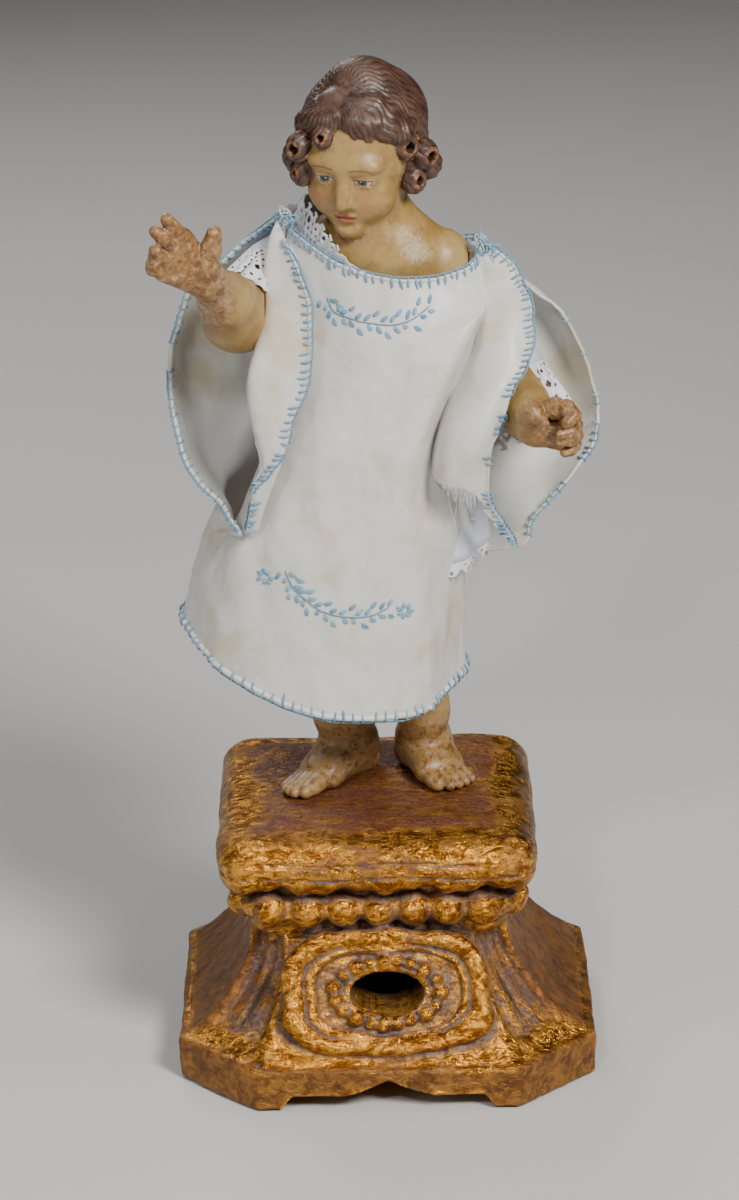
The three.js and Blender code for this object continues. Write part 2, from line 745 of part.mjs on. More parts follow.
// A sleeve as a solid, "out" millimetres outside its stations, drawn out past both ends if "longer".
function sleeve(stations, out = 0, longer = false) {
  const grown = widened(stations, out);
  const beyond = (b, a) => b.map((value, n) => (n < 3 ? value + (value - a[n]) * 0.2 : value));
  if (longer) {
    grown.unshift(beyond(grown[0], grown[1]));
    grown.push(beyond(grown.at(-1), grown.at(-2)));
  }
  return limb(grown, { sides: 9, steps: 1, across: [0, 0, 1], flat: true });
}

// The arms, "out" millimetres outside their stations. The cloth stays out of them.
const arms = (out) => [
  limb(widened(RIGHT_ARM, out), { sides: 9, steps: 1, across: [0, 0, 1] }),
  limb(widened(LEFT_ARM, out), { sides: 9, steps: 1 }),
];

const CHEMISE_GRID = { sides: 16, steps: 4 };

function chemiseSolid(out, longer) {
  return join([
    gown(CHEMISE_RINGS, { ...CHEMISE_GRID, out, longer }),
    sleeve(RIGHT_SLEEVE, out, longer > 0),
    sleeve(LEFT_SLEEVE, out, longer > 0),
  ]);
}

function chemise() {
  return chemiseSolid(0, 0)
    .subtract(chemiseSolid(-CLOTH, 4))
    .subtract(join(arms(CLEARANCE)));
}

// The robe's one deep fold falls from the right of the neck opening to the lower front.
function robeFolds(angle, t) {
  const turn = angle > Math.PI ? angle - 2 * Math.PI : angle;
  const window = Math.sin(Math.PI * Math.min(1, Math.max(0, (t - 0.1) / 0.6)));
  const crest = 0.95 - 0.5 * t;
  const hump = (centre, width) => Math.exp(-Math.pow((turn - centre) / width, 2));
  const hem = 1.6 * t * Math.sin(5 * angle + 1);
  return window * (6 * hump(crest, 0.22) - 4 * hump(crest + 0.42, 0.2)) + hem;
}

// A line on the robe's body, given as rows of [share of the way down, angle in degrees].
function seam(rows) {
  return rows.map(([t, degrees]) => {
    const angle = THREE.MathUtils.degToRad(degrees);
    return ringSpot(through(ROBE_RINGS, t), angle, robeFolds(angle, t) - 2);
  });
}

// Sleeve panels are strips between lengthwise curves, each curve running from the shoulder down. The
// first curve of each panel but the band lies in the body.
const PANELS = {
  rightFlap: [
    seam([[0.02, -80], [0.14, -66], [0.28, -60], [0.42, -58], [0.54, -58], [0.66, -60]]),
    [[-43, 1, 335], [-43.5, -13, 315], [-46.5, -21, 296], [-50, -25, 279], [-47, -26, 260], [-49, -24, 238]],
    [[-41, 3, 337], [-29, -19, 322], [-26.6, -25, 300], [-31.5, -28, 274], [-40, -29, 256], [-50, -23, 224]],
  ],
  rightBack: [
    seam([[0.01, -95], [0.14, -122], [0.3, -126], [0.44, -120], [0.56, -104], [0.66, -66]]),
    [[-45, 20, 334], [-62, 34, 308], [-70, 38, 286], [-72, 33, 258], [-69, 16, 238], [-56, -15, 221]],
    [[-40, 16, 338], [-63, 21, 318], [-81, 20, 291], [-82.5, 14, 268], [-74, 0, 238], [-52.5, -20, 219]],
  ],
  leftFlap: [
    seam([[0.01, 74], [0.12, 54], [0.24, 47], [0.35, 43], [0.46, 40], [0.57, 37]]),
    [[45, 6, 327], [49, -10, 304], [46, -17, 289], [41, -24, 272], [34, -27, 256], [32, -28.5, 240]],
    [[48, 6, 325], [59.8, -10, 302.5], [57.8, -20, 288], [49, -28.5, 272], [43, -30, 256], [42.2, -27, 238]],
  ],
  leftBand: [
    [[35, -27, 244], [38, -22, 229], [46, -14, 214], [53, -9, 206.5]],
    [[43, -29, 244], [46, -24, 229], [53, -15, 216], [56.5, -9, 209]],
  ],
  leftBack: [
    seam([[0.01, 96], [0.16, 122], [0.3, 126], [0.44, 124], [0.56, 112], [0.74, 92]]),
    [[48, 22, 328], [66, 38, 295], [73, 42, 272], [74, 37, 250], [66, 24, 228], [54, 0, 210]],
    [[47, 14, 326], [72, 27, 297], [83, 27, 275], [86.5, 22, 250], [73, 9, 228], [57, -7, 208]],
  ],
};

function panel(curves, across = 3, down = 5) {
  const at = (u, v) => through(curves.map((curve) => through(curve, v)), u);
  return cloth(at, across, down, CLOTH);
}

function robe() {
  const grid = { sides: 24, steps: 5, folds: robeFolds };
  const body = gown(ROBE_RINGS, grid).subtract(
    gown(ROBE_RINGS, { ...grid, out: -CLOTH, longer: 4 }),
  );
  const inside = gown(ROBE_RINGS, { ...grid, out: -CLOTH / 2, longer: 4 });
  const { leftBand, ...wide } = PANELS;
  const panels = [...Object.values(wide).map((curves) => panel(curves)), panel(leftBand, 1, 4)];
  return body
    .add(join(panels).subtract(inside))
    .subtract(chemiseSolid(CLEARANCE, 2))
    .subtract(join(arms(CLEARANCE)));
}

function onCushion(solid) {
  return solid.translate([0, 0, -SOLE]).scale(STATURE).translate(STANCE);
}

const group = new THREE.Group();
group.add(mesh("pedestal", pedestal(), GILT_WOOD));
group.add(mesh("figure", onCushion(figure()), PAINTED_WOOD));
group.add(mesh("chemise", onCushion(chemise()), COTTON));
group.add(mesh("robe", onCushion(robe()), SATIN));

export default group;
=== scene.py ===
"""The looks of a carved and painted wooden child, dressed in real cloth, on a gilded pedestal.

Shapes are worked out in millimetres in the model's own frame: +Z up, the front faces -Y, and the
origin is the centre of the pedestal's underside. They become metres when a mesh is made.
"""
import math

import bpy
import numpy as np
from mathutils import Matrix, Vector
from mathutils.bvhtree import BVHTree


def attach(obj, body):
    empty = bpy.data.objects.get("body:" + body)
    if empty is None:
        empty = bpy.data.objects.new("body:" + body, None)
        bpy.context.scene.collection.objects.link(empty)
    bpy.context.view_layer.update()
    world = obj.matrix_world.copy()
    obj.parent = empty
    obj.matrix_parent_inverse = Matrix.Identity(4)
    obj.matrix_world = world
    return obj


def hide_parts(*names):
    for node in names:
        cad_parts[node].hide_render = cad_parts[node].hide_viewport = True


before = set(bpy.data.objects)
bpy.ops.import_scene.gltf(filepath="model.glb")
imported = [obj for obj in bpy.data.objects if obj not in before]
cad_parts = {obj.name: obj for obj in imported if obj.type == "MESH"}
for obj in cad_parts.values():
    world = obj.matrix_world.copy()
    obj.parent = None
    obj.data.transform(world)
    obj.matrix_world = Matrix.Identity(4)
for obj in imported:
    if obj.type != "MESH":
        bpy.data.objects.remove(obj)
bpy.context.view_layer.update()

MM = 0.001
PHOTO_WIDTH = 739
UP = np.array([0.0, 0.0, 1.0])


# Curves and noise

def spline(rows, place):
    """A smooth curve through rows of numbers, or through whole lines, at places counted in rows."""
    rows, place = np.asarray(rows, float), np.asarray(place, float)
    last = len(rows) - 1
    i = np.minimum(place.astype(int), last - 1)
    wide = (..., *[None] * (rows.ndim - 1))
    f = (place - i)[wide]
    b, c = rows[i], rows[i + 1]
    a = np.where((i > 0)[wide], rows[np.maximum(i - 1, 0)], 2 * b - c)
    d = np.where((i + 2 <= last)[wide], rows[np.minimum(i + 2, last)], 2 * c - b)
    bend = 2 * a - 5 * b + 4 * c - d + f * (3 * (b - c) + d - a)
    return b + 0.5 * f * (c - a + f * bend)


def through(rows, t):
    """A smooth curve through rows of numbers, at t from 0 to 1 or at an array of t."""
    return spline(rows, np.clip(np.asarray(t, float), 0, 1) * (len(rows) - 1))


def track(rows, t):
    """A smooth curve through rows [t, value, value ...] with their own uneven t."""
    rows = np.asarray(rows, float)
    share = np.interp(t, rows[:, 0], np.linspace(0, 1, len(rows)))
    return through(rows[:, 1:], share)


def step(low, high, value):
    """0 below low, 1 above high, smooth between."""
    f = np.clip((value - low) / (high - low), 0, 1)
    return f * f * (3 - 2 * f)


def lattice(i, seed):
    """A random number from 0 to 1 for each whole-numbered place."""
    n = i[:, 0] * 374761393 + i[:, 1] * 668265263 + i[:, 2] * 2147483647 + seed * 974711
    n = (n ^ (n >> 13)) * 1274126177
    n = n ^ (n >> 16)
    return (n & 0xFFFF) / 65535.0


def noise(p, size, seed=0):
    """Smooth noise from -1 to 1 at points p, with lumps about size across."""
    q = np.asarray(p, float) / size
    base = np.floor(q).astype(np.int64)
    f = q - base
    f = f * f * (3 - 2 * f)
    total = np.zeros(len(q))
    for corner in np.ndindex(2, 2, 2):
        weight = np.prod(np.where(np.array(corner), f, 1 - f), axis=1)
        total += weight * lattice(base + corner, seed)
    return 2 * total - 1


# Solid shapes as distances: each takes points and gives how far outside the shape they are

def length(p):
    return np.sqrt(np.einsum("ij,ij->i", p, p))


def units(p):
    """Rows of vectors, each made 1 long."""
    return p / np.maximum(length(p), 1e-9)[:, None]


def unit(v):
    """One vector, made 1 long."""
    return v / max(np.linalg.norm(v), 1e-6)


def ellipsoid(p, centre, radii):
    q = (p - np.asarray(centre, float)) / np.asarray(radii, float)
    far = length(q)
    return far * (far - 1) / np.maximum(length(q / radii), 1e-6)


def rod(p, a, b, radius_a, radius_b):
    a = np.asarray(a, float)
    along = np.asarray(b, float) - a
    share = np.clip((p - a) @ along / (along @ along), 0, 1)
    gap = p - a - share[:, None] * along
    return length(gap) - (radius_a + (radius_b - radius_a) * share)


def merge(a, b, blend=0.0):
    """The join of two shapes, with a fillet about as wide as blend."""
    if blend <= 0:
        return np.minimum(a, b)
    h = np.maximum(blend - np.abs(a - b), 0) / blend
    return np.minimum(a, b) - h * h * blend / 4


def carve(a, b, blend=0.0):
    """Shape a with shape b taken out of it."""
    return -merge(-a, b, blend)


def chain(p, stations, blend=1.5):
    """Rods from station to station, each [x, y, z, radius]."""
    made = None
    for one, two in zip(stations[:-1], stations[1:]):
        part = rod(p, one[:3], two[:3], one[3], two[3])
        made = part if made is None else merge(made, part, blend)
    return made


def turned(about_x=0.0, about_y=0.0, about_z=0.0):
    """A rotation matrix, turned about X first, then Y, then Z, in degrees."""
    x, y, z = (math.radians(a) for a in (about_x, about_y, about_z))
    made = Matrix.Rotation(z, 3, "Z") @ Matrix.Rotation(y, 3, "Y") @ Matrix.Rotation(x, 3, "X")
    return np.array(made)


# From a field of distances to a mesh

NEAR_BLOCK = 4
NEAR_MARGIN = 1.35


def corner_blocks(shape):
    """The eight ways to lay a block of that shape into a grid that is one larger each way."""
    for corner in np.ndindex(2, 2, 2):
        yield tuple(slice(c, c + n) for c, n in zip(corner, shape))


def sample_field(field, low, high, cell):
    """Distances on a grid. Only the blocks of cells that the surface may cross are worked out."""
    counts = [int(math.ceil((h - l) / cell / NEAR_BLOCK)) * NEAR_BLOCK + 1 for l, h in zip(low, high)]
    axes = [l + cell * np.arange(n) for l, n in zip(low, counts)]
    coarse = [a[::NEAR_BLOCK] for a in axes]
    grid = np.stack(np.meshgrid(*coarse, indexing="ij"), -1)
    values = field(grid.reshape(-1, 3)).reshape(grid.shape[:3])
    near_node = np.abs(values) < NEAR_BLOCK * cell * math.sqrt(3) * NEAR_MARGIN
    near = np.zeros([n - 1 for n in values.shape], bool)
    for block in corner_blocks(near.shape):
        near |= near_node[block]
    for axis in range(3):
        values = np.take(np.repeat(values, NEAR_BLOCK, axis), np.arange(counts[axis]), axis)
        near = np.repeat(near, NEAR_BLOCK, axis)
    wanted = np.zeros(counts, bool)
    for block in corner_blocks(near.shape):
        wanted[block] |= near
    at = np.argwhere(wanted)
    values[wanted] = field(np.stack([axes[k][at[:, k]] for k in range(3)], 1))
    return values, axes


def surface(field, low, high, cell):
    """The surface of a field within a box, as points and four-cornered faces, closed at the box."""
    centre, half = (np.add(low, high)) / 2, (np.subtract(high, low)) / 2 - cell

    def boxed(p):
        return np.maximum(field(p), np.max(np.abs(p - centre) - half, axis=1))

    values, axes = sample_field(boxed, low, high, cell)
    inside = values < 0
    shape = [n - 1 for n in values.shape]
    place = np.array([shape[1] * shape[2], shape[2], 1])
    cells, spots, faces = [], [], []
    for axis in range(3):
        others = [k for k in range(3) if k != axis]
        here = [slice(0, n) for n in values.shape]
        there = list(here)
        here[axis] = slice(0, values.shape[axis] - 1)
        there[axis] = slice(1, values.shape[axis])
        crossed = np.argwhere(inside[tuple(here)] != inside[tuple(there)])
        v0 = values[tuple(here)][tuple(crossed.T)]
        v1 = values[tuple(there)][tuple(crossed.T)]
        spot = np.stack([axes[k][crossed[:, k]] for k in range(3)], 1)
        spot[:, axis] += cell * v0 / (v0 - v1)
        ring = []
        for shift in ((0, 0), (1, 0), (1, 1), (0, 1)):
            owner = crossed.copy()
            for other, back in zip(others, shift):
                owner[:, other] -= back
            ring.append(owner @ place)
            cells.append(ring[-1])
            spots.append(spot)
        quad = np.stack(ring, 1)
        flip = (v0 < 0) == (axis == 1)
        quad[flip] = quad[flip][:, ::-1]
        faces.append(quad)
    cells = np.concatenate(cells)
    spots = np.concatenate(spots)
    names, index = np.unique(cells, return_inverse=True)
    count = np.bincount(index)
    points = np.stack([np.bincount(index, spots[:, k]) / count for k in range(3)], 1)
    faces = np.searchsorted(names, np.concatenate(faces))
    return points, faces


def slopes(field, p, reach=0.15):
    """The field's outward directions at p."""
    made = np.stack([field(p + reach * e) - field(p - reach * e) for e in np.eye(3)], 1)
    return units(made)


# The figure and its clothes are laid out with the soles at SOLE, then sized by STATURE and stood on
# the cushion by STANCE.
SOLE = 100.3
STATURE = 0.99
STANCE = np.array([0, -13.7, 106])


def on_cushion(points):
    return (np.asarray(points, float) - (0, 0, SOLE)) * STATURE + STANCE


def off_cushion(points):
    return (np.asarray(points, float) - STANCE) / STATURE + (0, 0, SOLE)


def new_piece(name, points, faces, material):
    """A smooth mesh object from points in millimetres."""
    mesh = bpy.data.meshes.new(name)
    corners = faces if isinstance(faces, list) else faces.tolist()
    mesh.from_pydata((np.asarray(points, float) * MM).tolist(), [], corners)
    mesh.polygons.foreach_set("use_smooth", [True] * len(mesh.polygons))
    mesh.materials.append(material)
    piece = bpy.data.objects.new(name, mesh)
    bpy.context.collection.objects.link(piece)
    return piece


def thin_out(piece, ratio):
    """Keeps that share of a piece's triangles, fewest where it is flat."""
    decimate = piece.modifiers.new("thin_out", "DECIMATE")
    decimate.ratio = ratio


def note(piece, name, values):
    """Keeps one number, or three, for each point of a piece, for its material to read."""
    values = np.asarray(values, np.float32)
    kind, key = ("FLOAT", "value") if values.ndim == 1 else ("FLOAT_VECTOR", "vector")
    layer = piece.data.attributes.new(name, kind, "POINT")
    layer.data.foreach_set(key, values.ravel())


# Materials: sockets that add, multiply and mix

class Socket:
    """A shader socket that arithmetic makes nodes from."""

    def __init__(self, tree, out):
        self.tree = tree
        self.out = out

    def math(self, operation, *others):
        return add_node(self.tree, "Math", dict(enumerate((self, *others))), operation=operation)

    def __add__(self, other):
        return self.math("ADD", other)

    def __sub__(self, other):
        return self.math("SUBTRACT", other)

    def __mul__(self, other):
        return self.math("MULTIPLY", other)

    def __truediv__(self, other):
        return self.math("DIVIDE", other)

    __radd__ = __add__
    __rmul__ = __mul__

    def __rsub__(self, other):
        return (self * -1.0) + other

    def __abs__(self):
        return self.math("ABSOLUTE")

    def __pow__(self, other):
        return self.math("POWER", other)

    def most(self, other):
        return self.math("MAXIMUM", other)

    def ramp(self, low, high):
        """0 below low and 1 above high, smooth between. It falls instead if low is the higher."""
        ends = {"From Min": min(low, high), "From Max": max(low, high)}
        ends["To Min"], ends["To Max"] = (0.0, 1.0) if high > low else (1.0, 0.0)
        values = {"Value": self, **ends}
        return add_node(self.tree, "MapRange", values, "Result", interpolation_type="SMOOTHSTEP")


def fill(tree, node, values):
    """Links a node's inputs to sockets, or sets them to plain values."""
    for slot, value in values.items():
        if isinstance(value, Socket):
            tree.links.new(value.out, node.inputs[slot])
        else:
            node.inputs[slot].default_value = value


def add_node(tree, kind, values, out=0, **settings):
    """One output of a new shader node."""
    node = tree.nodes.new("ShaderNode" + kind)
    for name, value in settings.items():
        setattr(node, name, value)
    fill(tree, node, values)
    return Socket(tree, node.outputs[out])


# The names of the surface's inputs, by the short names that the materials below use
SURFACE = {
    "color": "Base Color", "rough": "Roughness", "metal": "Metallic", "normal": "Normal",
    "coat": "Coat Weight", "coat_rough": "Coat Roughness", "sheen": "Sheen Weight",
    "sheen_rough": "Sheen Roughness",
}


class Paint:
    """A material under construction."""

    def __init__(self, name):
        self.material = bpy.data.materials.new(name)
        self.material.use_nodes = True
        self.tree = self.material.node_tree

    def add(self, kind, values, out=0, **settings):
        return add_node(self.tree, kind, values, out, **settings)

    def place(self):
        """The place on the object, in millimetres."""
        spot = self.add("TexCoord", {}, "Object")
        return self.add("VectorMath", {0: spot, "Scale": 1 / MM}, operation="SCALE")

    def split(self, vector):
        return [self.add("SeparateXYZ", {0: vector}, axis) for axis in "XYZ"]

    def stretch(self, vector, factors):
        return self.add("VectorMath", {0: vector, 1: factors}, operation="MULTIPLY")

    def noted(self, name, out="Fac"):
        """What note() kept under that name."""
        return self.add("Attribute", {}, out, attribute_name=name)

    def noise(self, vector, size, detail=3.0, rough=0.5, twist=0.0):
        values = {"Vector": vector, "Scale": 1 / size, "Detail": detail}
        values.update({"Roughness": rough, "Distortion": twist})
        return self.add("TexNoise", values, "Fac")

    def to_cell_edge(self, vector, size):
        """How far a point is from the nearest edge of a pattern of cells."""
        values = {"Vector": vector, "Scale": 1 / size}
        return self.add("TexVoronoi", values, "Distance", feature="DISTANCE_TO_EDGE")

    def mix(self, one, two, factor):
        one, two = (color if isinstance(color, Socket) else (*color, 1) for color in (one, two))
        return self.add("Mix", {0: factor, 6: one, 7: two}, 2, data_type="RGBA")

    def over(self, color, *layers):
        """A colour with tints laid over it in turn, each (tint, where it shows)."""
        for tint, where in layers:
            color = self.mix(color, tint, where)
        return color

    def bump(self, height, depth):
        """Relief of the given depth in millimetres from a height of 0 to 1."""
        return self.add("Bump", {"Distance": depth * MM, "Height": height}, "Normal")

    def set(self, **values):
        named = {SURFACE[name]: value for name, value in values.items()}
        fill(self.tree, self.tree.nodes["Principled BSDF"], named)
        return self.material


# The carved figure. Stations are [x, y, z, radius], from the body outwards

HEAD_CENTRE = np.array([-5.5, 5, 373])
HEAD_TURN = turned(about_z=-20) @ turned(about_x=20) @ turned(about_y=3)
HEAD_SCALE = 0.94
FINE = 0.55
HAND_FINE = 0.5
COARSE = 2.2

TORSO = [[0, 20, 182, 17], [0, 19, 205, 24], [0, 18, 255, 23.5], [0, 17, 300, 22]]
SHOULDERS = [[-25, 18, 322, 13.5], [1, 15, 325, 19], [23, 17, 319, 12.5]]
NECK = [[1, 14, 330, 14], [-1, 10, 344, 12], [-2.5, 8, 356, 12.5]]
ARMS = {
    "right": (
        [[-28, 18, 322, 12], [-44, 6, 312, 12.4], [-54, -11, 305.6, 13.4], [-58, -31, 318, 11]],
        [[-58, -31, 318, 11], [-62.5, -44.5, 328, 7.2]],
    ),
    "left": (
        [[26, 17, 319, 11], [39, 15, 300, 11.4], [53.5, 3, 269.5, 12.2], [57.5, -18, 266.4, 10.4]],
        [[57.5, -18, 266.4, 10.4], [60.5, -33, 266.2, 7.7]],
    ),
}
RIGHT_LEG = [[-13, 20, 196, 14], [-16, 18, 160, 12.8], [-16.8, 21, 128, 10.7], [-15, 25, 110, 8.6]]
LEFT_LEG = [[13, 20, 196, 14], [14.5, 19, 160, 12.2], [16.5, 21.5, 128, 9.6], [15.6, 27, 110, 8.6]]


def to_head(p):
    """Points in the head's own frame, facing -Y with the centre between the ears."""
    return (p - HEAD_CENTRE) @ HEAD_TURN / HEAD_SCALE


def mirrored(q):
    """Points with the left half laid over the right, for features that come in pairs."""
    return np.column_stack([np.abs(q[:, 0]), q[:, 1], q[:, 2]])


def head_skin(q):
    """The head without its hair, in the head's own frame, facing -Y."""
    m = mirrored(q)
    # Skull, face, jaw, cheeks, chin and throat
    d = ellipsoid(q, (0, 2, 0), (22, 25, 22.5))
    d = merge(d, ellipsoid(q, (0, -8, -12), (18.5, 19.5, 24)), 7)
    d = merge(d, ellipsoid(q, (0, -12, -22), (14.5, 14, 14)), 5)
    d = merge(d, ellipsoid(m, (9.8, -17.5, -18), (8, 7.2, 8)), 5)
    d = merge(d, ellipsoid(q, (0, -22.5, -31.2), (6.2, 5, 4.6)), 4)
    d = merge(d, ellipsoid(q, (0, -10, -33), (12, 10, 5)), 5)
    # Eye sockets, brows, lids and eyes
    d = carve(d, ellipsoid(m, (8.4, -28, -6.2), (6.4, 4.6, 4.2)), 4)
    d = merge(d, ellipsoid(m, (6.5, -21.6, -0.6), (9, 4, 3)), 5)
    lids = ellipsoid(m, (8.2, -20.6, -6.3), (5.5, 5.3, 4.9))
    gap = ellipsoid(m, (8.3, -26, -6.9), (4.5, 4.5, 1.45))
    d = merge(d, carve(lids, gap, 0.4), 1.6)
    d = merge(d, ellipsoid(m, (8.2, -20.3, -6.3), (4.9, 4.7, 4.6)), 0.1)
    # Nose, and the groove below it
    nose = chain(q, [[0, -23.4, -2, 2.3], [0, -26.4, -10, 2.3], [0, -29, -15.4, 3]], 1)
    nose = merge(nose, ellipsoid(m, (3.0, -26.2, -16.4), (2.1, 2.5, 1.9)), 1.4)
    nose = carve(nose, ellipsoid(m, (1.8, -27.6, -18.6), (0.9, 1.5, 1)), 0.5)
    d = merge(d, nose, 3)
    d = carve(d, rod(q, (0, -29, -18.5), (0, -28.2, -21), 0.8, 0.9), 1.6)
    # Lips, the line between them and the hollow over the chin
    lips = ellipsoid(m, (2.1, -26, -22.2), (3.1, 1.9, 1.3))
    lips = merge(lips, ellipsoid(q, (0, -25.6, -25.1), (3.5, 2.1, 1.6)), 0.2)
    d = merge(d, lips, 1)
    d = carve(d, rod(m, (0, -28, -23.6), (5, -25.2, -23.5), 0.35, 0.3), 0.7)
    d = carve(d, ellipsoid(q, (0, -27.8, -28), (4, 2, 1.4)), 2)
    return d


HAIR_CENTRE = np.array([0, 5.4, 3.4])
HAIR_RADII = np.array([25.8, 28.3, 21.4])
WHORL = unit(to_head(np.array([-15.5, -9, 392])) - HAIR_CENTRE)
WHORL_SIDE = unit(np.cross(WHORL, (0.0, 1.0, 0.2)))
STRANDS = 46
STRAND_DEPTH = 0.5

# Fringe locks: [azimuth of the root, azimuth of the tip, height of the tip, radius], in degrees.
FRINGE = [
    [-50, -66, 3.0, 5.2], [-40, -52, 6.0, 5.4], [-30, -38, 8.6, 5.4], [-20, -25, 9.6, 5.0],
    [-12, -14, 12, 4.0], [-2, 2, 14.5, 3.4], [6, 12, 11.5, 4.6], [17, 25, 10.2, 5.0],
    [29, 39, 9.6, 4.8], [42, 53, 6.5, 5.2], [55, 68, 2.5, 5.2],
]

# The masses of hair over each ear, behind and on the crown, in the model's frame: centre, radii and
# how softly each joins the rest.
LOCKS = [
    [(-25.4, 5, 365), (7.6, 10.5, 12.5), 3], [(13, 6, 365), (8.2, 10.5, 13.5), 3],
    [(-5.5, 23, 358), (17.5, 11, 15), 5], [(-5, 5, 394), (10.5, 9.5, 8.2), 9],
]

# Curls over the ears, in the model's frame: [x, y, z, radius, hole].
CURLS = [
    [-28.8, -3, 370, 5.6, 2.0], [-28.2, -1, 359.6, 5.0, 0.9], [-19.6, -11.4, 376, 4.6, 1.5],
    [-29.8, 5, 364.5, 6.2, 0], [11.4, -7.4, 371, 5.2, 2.0], [18.8, -2.6, 366.4, 5.4, 2.1],
    [14.2, -1.6, 356.4, 5.3, 1.8], [19.4, 5.5, 361, 6.2, 0],
]


def around_whorl(q):
    """How far round the whorl and how far away from it a point of the hair is, in radians."""
    u = units(q - HAIR_CENTRE)
    side = u @ WHORL_SIDE
    other = u @ np.cross(WHORL, WHORL_SIDE)
    return np.arctan2(other, side), np.arccos(np.clip(u @ WHORL, -1, 1))


def strand_relief(q):
    """Combed, wavy strands that wind out of the whorl: 0 in the grooves to 1 on the ridges."""
    turn, away = around_whorl(q)
    wander = noise(q, 9.0, 5) * 0.10 + 0.05 * np.sin(away * 16 + turn * 2)
    phase = turn + 0.55 * away + wander
    broad = 0.5 + 0.5 * np.cos(STRANDS * phase)
    fine = 0.5 + 0.5 * np.cos(2 * STRANDS * phase + 3 * noise(q, 5.0, 6))
    fade = step(0.08, 0.3, away)
    return (0.65 * broad + 0.35 * fine) * fade + 0.5 * (1 - fade)


def hair_spot(azimuth, height, out=0.0):
    """A point on the hair cap at that azimuth from the front and that height."""
    level = math.sqrt(max(0.0, 1 - ((height - HAIR_CENTRE[2]) / HAIR_RADII[2]) ** 2))
    angle = math.radians(azimuth)
    across = (HAIR_RADII[0] + out) * level * math.sin(angle)
    deep = (HAIR_RADII[1] + out) * level * math.cos(angle)
    return [HAIR_CENTRE[0] + across, HAIR_CENTRE[1] - deep, height]


def head_hair(q, p):
    """The hair. q is in the head's frame and p is in the model's."""
    cap = ellipsoid(q, HAIR_CENTRE, HAIR_RADII)
    azimuth = np.arctan2(q[:, 0], -(q[:, 1] - HAIR_CENTRE[1]))
    hairline = 15.5 - 8.5 * (azimuth / 1.1) ** 2
    cap = carve(cap, 0.8 * (q[:, 2] - hairline), 3.5)
    for root, tip, height, radius in FRINGE:
        start = hair_spot(root, min(height + 13, 20), -radius * 0.62)
        middle = hair_spot((root + tip) / 2, height + 5, -radius * 0.45)
        end = hair_spot(tip, height, -radius * 0.62)
        lock = chain(q, [[*start, radius * 0.8], [*middle, radius], [*end, radius * 0.6]], 2)
        cap = merge(cap, lock, 1.6)
    made = cap * HEAD_SCALE
    for centre, radii, blend in LOCKS:
        made = merge(made, ellipsoid(p, centre, radii), blend)
    for x, y, z, radius, hole in CURLS:
        centre = np.array([x, y, z])
        outward = unit(np.array([x + 5, y - 24, 0.0]))
        across = np.cross(UP, outward)
        gap = p - centre
        ring = np.sqrt((gap @ across) ** 2 + gap[:, 2] ** 2)
        turn = np.arctan2(gap[:, 2], gap @ across)
        lobe = ellipsoid(p, centre, (radius, radius, radius * 1.12)) + 0.16 * np.cos(ring * 2.6 - turn)
        made = merge(made, lobe, 1.0)
        if hole:
            inner, outer = centre - outward * radius * 0.3, centre + outward * radius * 1.6
            made = carve(made, rod(p, inner, outer, hole * 0.8, hole * 1.15), 0.8)
    return made - STRAND_DEPTH * (strand_relief(q) - 0.5)


# Stations of the hands. A grip is the hollow that a closed hand leaves.
PALMS = {
    "right": {
        "knuckles": [
            [-72.6, -58.6, 349.2, 3.5], [-75.6, -60.2, 346.4, 3.5],
            [-77.6, -61, 342.4, 3.4], [-79.4, -60, 337.4, 3.2],
        ],
        "wrist": [-63.5, -47, 329, 6.6],
        "fingers": [
            [[-75.6, -64, 355, 3.0], [-77.6, -66, 358.8, 2.5]],
            [[-79.2, -66.4, 352, 2.9], [-82, -68, 354.8, 2.4]],
            [[-82, -65.6, 345, 2.9], [-82.2, -68.6, 347.8, 2.4]],
            [[-83.6, -63.4, 339.4, 2.7], [-83.8, -66.2, 342.2, 2.3]],
        ],
        "thumb": [
            [-63, -49, 332, 5.8], [-64, -55.2, 338.6, 5.2], [-61.8, -57.6, 345.6, 3.7],
            [-60.6, -60, 351.8, 2.9],
        ],
        "grip": [],
    },
    "left": {
        "knuckles": [
            [67, -38.6, 274.6, 4.0], [72.2, -38.4, 269, 3.3],
            [72.4, -37.4, 264.6, 3.1], [71.6, -36, 260.4, 2.9],
        ],
        "wrist": [60, -33.5, 266.2, 7.2],
        "fingers": [
            [[71.4, -42.4, 276.4, 3.3], [74, -47.4, 274.8, 2.8], [71.2, -50.4, 272.8, 2.3]],
            [[75.2, -42.4, 269.4, 2.6], [73, -48.2, 268.6, 2.3], [69, -50.2, 268.2, 2.0]],
            [[75.4, -41.4, 265, 2.5], [72.6, -46.8, 264.6, 2.2], [68.6, -48.4, 264.8, 1.9]],
            [[74.8, -39.6, 260.6, 2.4], [73, -43.6, 259.8, 2.2], [70.6, -45.4, 259.4, 1.9]],
        ],
        "thumb": [
            [58, -33, 270, 6], [57.4, -41, 274.2, 4.8], [59, -46.8, 275.4, 3.3],
            [62.2, -50.2, 273, 2.2],
        ],
        "grip": [[66.4, -56, 270.8, 3.0], [66.4, -39, 271, 2.4]],
    },
}


